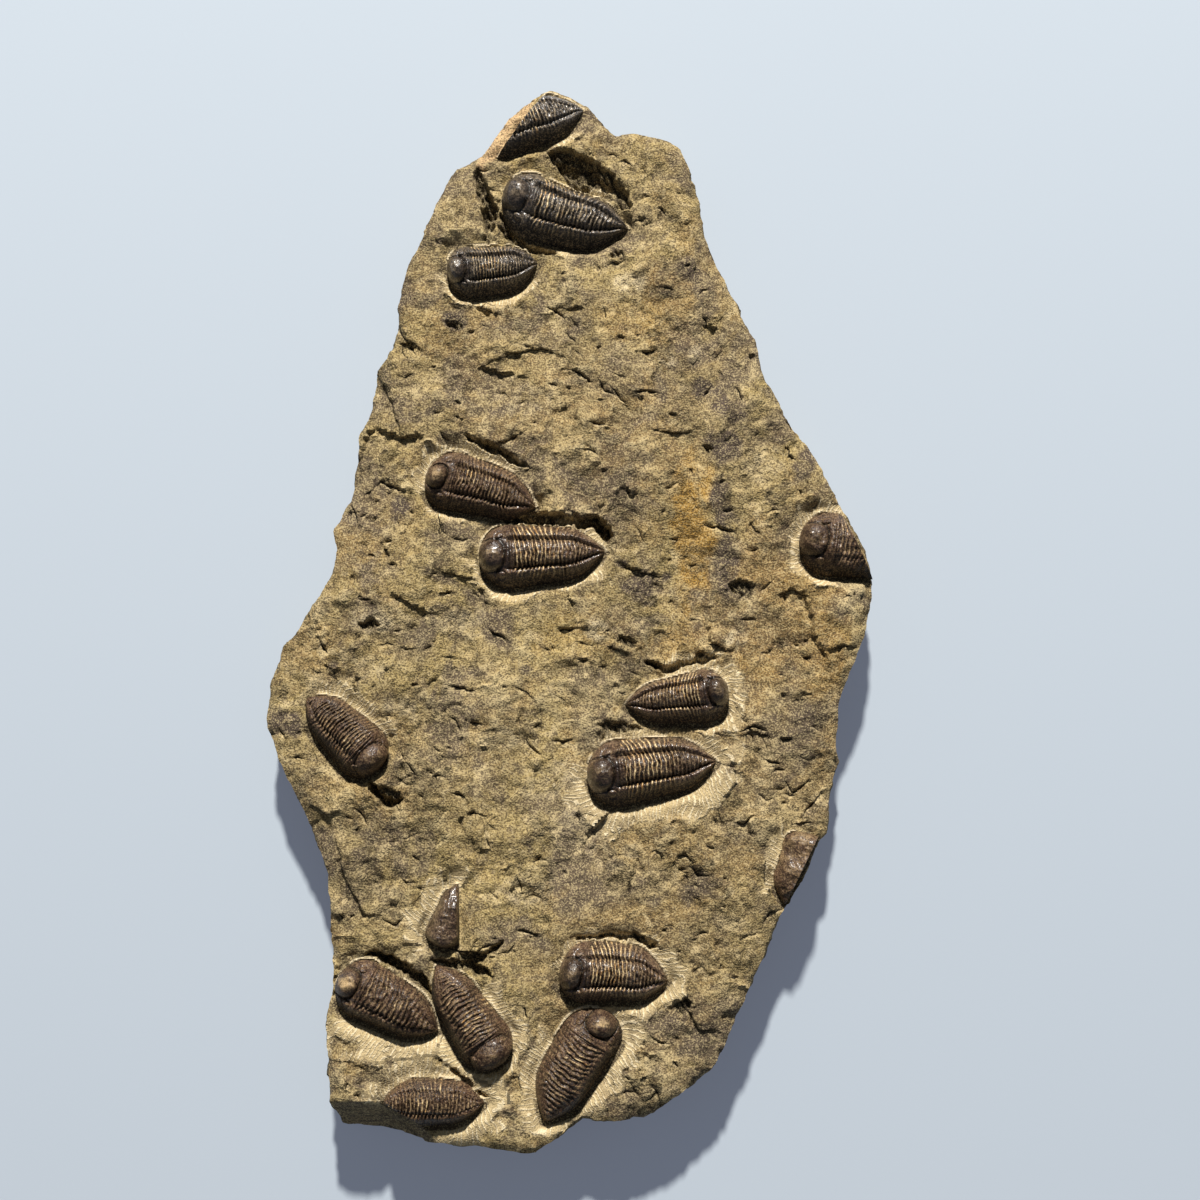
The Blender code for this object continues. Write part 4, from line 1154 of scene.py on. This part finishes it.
def shell_material(name, deep, body, worn, golden, gloss, coat, hood):
    """Fossil shell: painted shade in its furrows and on its flank away from the light, crests worn pale and
    partly painted highlight, dusty round its foot.
    """
    material, s, shader = new_material(name)
    dome = s.mark("dome").spread(0.0, 0.2)
    crest, painted_shade = s.mark("crest"), s.mark("painted_shade")
    ragged = crest + s.noise(0.0015, 3.0, 0.7) * 0.5
    ridge = ragged.spread(1.0, 1.25) * s.mark("ringed")
    gold = s.mottle(0.007, golden, 0.05) * ragged.spread(0.95, 1.2)
    layers = (
        (dome * hood, (0.022, 0.012, 0.01)),
        # Pale ring crests: wear, and partly painted highlight.
        (ridge * s.mottle(0.005, 0.53, 0.07) * 0.85, worn),
        (gold * s.mark("gilt"), s.mottle(0.0025, 0.48, 0.08).mix((0.42, 0.21, 0.05), (0.8, 0.62, 0.33))),
        (s.mottle(0.0035, 0.66, 0.05) * 0.5, worn),
        (s.mark("crown") * s.mottle(0.004, 0.5, 0.08), worn),
        # Painted shade in the ring grooves and the furrows.
        (crest.spread(0.35, 0.0, 0, 0.85), deep),
        # Painted shade on the lower flank away from the light.
        (painted_shade * 0.92, deep),
        # Pale dust at the foot, kept mostly to the lit side: partly painted light.
        (s.mark("foot") * s.mottle(0.003, 0.58, 0.1) * 0.6, (0.4, 0.31, 0.18)),
    )
    colour = painted(s.mottle(0.009, 0.5, 0.14).mix(body, [0.5 * part for part in body]), layers)
    sand = {"Colour": colour, "Pale Grain": worn, "Dark Grain": deep, "Size": 0.0007}
    sand["Pale Share"] = dome.spread(0, 1, 0.25, 0.25 - 0.22 * hood)
    grain = s.group("sand_grain", sand)
    dull = s.mottle(0.003, 0.5, 0.2).spread(0, 1, gloss, gloss + 0.25) + dome * (-0.14 * hood)
    height = s.noise(0.0016, 4.0, 0.65) + grain.other("Height") * 0.5
    s.feed(shader, {
        "Base Color": grain,
        "Roughness": dull.math("MAXIMUM", painted_shade * 0.8),
        "Specular IOR Level": 0.3 + 0.4 * coat,
        "Coat Weight": painted_shade.spread(0.0, 0.4, coat, 0.0),
        "Coat Roughness": 0.16,
        "Normal": s.bump(height, 0.9, 0.0005),
    })  # fmt: skip
    return material


def floor_material():
    material, s, shader = new_material("pale_floor")
    # Painted light: the floor glows a little of its own, which lightens the slab's shadow on it.
    glow = {"Emission Color": (0.09, 0.1, 0.135), "Emission Strength": 1.0}
    s.feed(shader, {"Base Color": (0.39, 0.445, 0.49), "Roughness": 0.9, **glow})
    return material


# --- the studio, in metres ---

EYE_TILT = math.radians(7)
EYE_DISTANCE = 0.8
AIM = Vector((0.01285, 0.0006, 0.032))
LENS = 53.8
SENSOR = 36
FLOOR_SIZE = 8
LIGHTS = (  # name, place, size, watts and tint
    ("key", (-0.1, 3.45, 2.65), 0.25, 372.0, (1.0, 0.96, 0.9)),
    ("fill", (0.6, -0.8, 2.0), 2.0, 0.4, (0.9, 0.94, 1.0)),
)
SKY = (0.78, 0.87, 1.0, 1)
SKY_STRENGTH = 0.13
# The deep colour is also the painted shade in the furrows and on the shaded flanks; the worn colour is also
# the ring crests' partly painted highlight.
SHELLS = {  # deep, body and worn colours, where the gold starts, gloss, coat, and how dark the head's dome is
    "slate": ((0.004, 0.004, 0.005), (0.068, 0.054, 0.045), (0.64, 0.5, 0.32), 0.51, 0.3, 0.45, 0.6),
    "umber": ((0.008, 0.005, 0.003), (0.09, 0.047, 0.027), (0.5, 0.35, 0.18), 0.6, 0.42, 0.12, 0.3),
    "golden": ((0.008, 0.005, 0.003), (0.1, 0.054, 0.034), (0.64, 0.46, 0.25), 0.46, 0.3, 0.5, 0.8),
}


def look_at(thing, place_at, target):
    thing.location = place_at
    thing.rotation_euler = (Vector(place_at) - Vector(target)).to_track_quat("Z", "Y").to_euler()


def make_studio():
    bpy.ops.object.select_all(action="DESELECT")
    bpy.ops.mesh.primitive_plane_add(size=FLOOR_SIZE)
    floor = bpy.context.object
    floor.name = "floor"
    floor.data.materials.append(floor_material())
    camera = bpy.data.objects.new("camera", bpy.data.cameras.new("camera"))
    bpy.context.scene.collection.objects.link(camera)
    camera.data.lens = LENS
    camera.data.sensor_width = SENSOR
    camera.data.clip_start = 0.01
    look_at(camera, AIM + EYE_DISTANCE * Vector((0, -math.sin(EYE_TILT), math.cos(EYE_TILT))), AIM)
    bpy.context.scene.camera = camera
    for name, spot, size, watts, tint in LIGHTS:
        light = bpy.data.objects.new(name, bpy.data.lights.new(name, "AREA"))
        bpy.context.scene.collection.objects.link(light)
        light.data.shape = "DISK"
        light.data.size = size
        light.data.energy = watts
        light.data.color = tint
        look_at(light, spot, (0, 0, 0))
    world = bpy.data.worlds.new("studio")
    bpy.context.scene.world = world
    world.use_nodes = True
    background = world.node_tree.nodes["Background"]
    background.inputs["Color"].default_value = SKY
    background.inputs["Strength"].default_value = SKY_STRENGTH
    bpy.context.scene.view_settings.view_transform = "Standard"


def dress():
    make_grain_group()
    make_mottle_group()
    make_facet_group()
    finish_piece(make_rock(), "rock_slab", rock_material(), ROCK_CREASE)
    finishes = {name: shell_material(name + "_shell", *look) for name, look in SHELLS.items()}
    for number, fossil in enumerate(FOSSILS, 1):
        name = f"trilobite_{number:02}"
        finish_piece(make_shell(name, fossil), name, finishes[fossil.shell], SHELL_CREASE)


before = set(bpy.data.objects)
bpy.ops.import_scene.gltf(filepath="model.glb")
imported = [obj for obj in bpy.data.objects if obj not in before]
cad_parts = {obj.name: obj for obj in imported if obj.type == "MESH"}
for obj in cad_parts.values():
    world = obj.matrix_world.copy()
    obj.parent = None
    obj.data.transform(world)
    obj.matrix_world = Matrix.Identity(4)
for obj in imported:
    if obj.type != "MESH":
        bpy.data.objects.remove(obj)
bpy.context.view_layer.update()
make_studio()
dress()
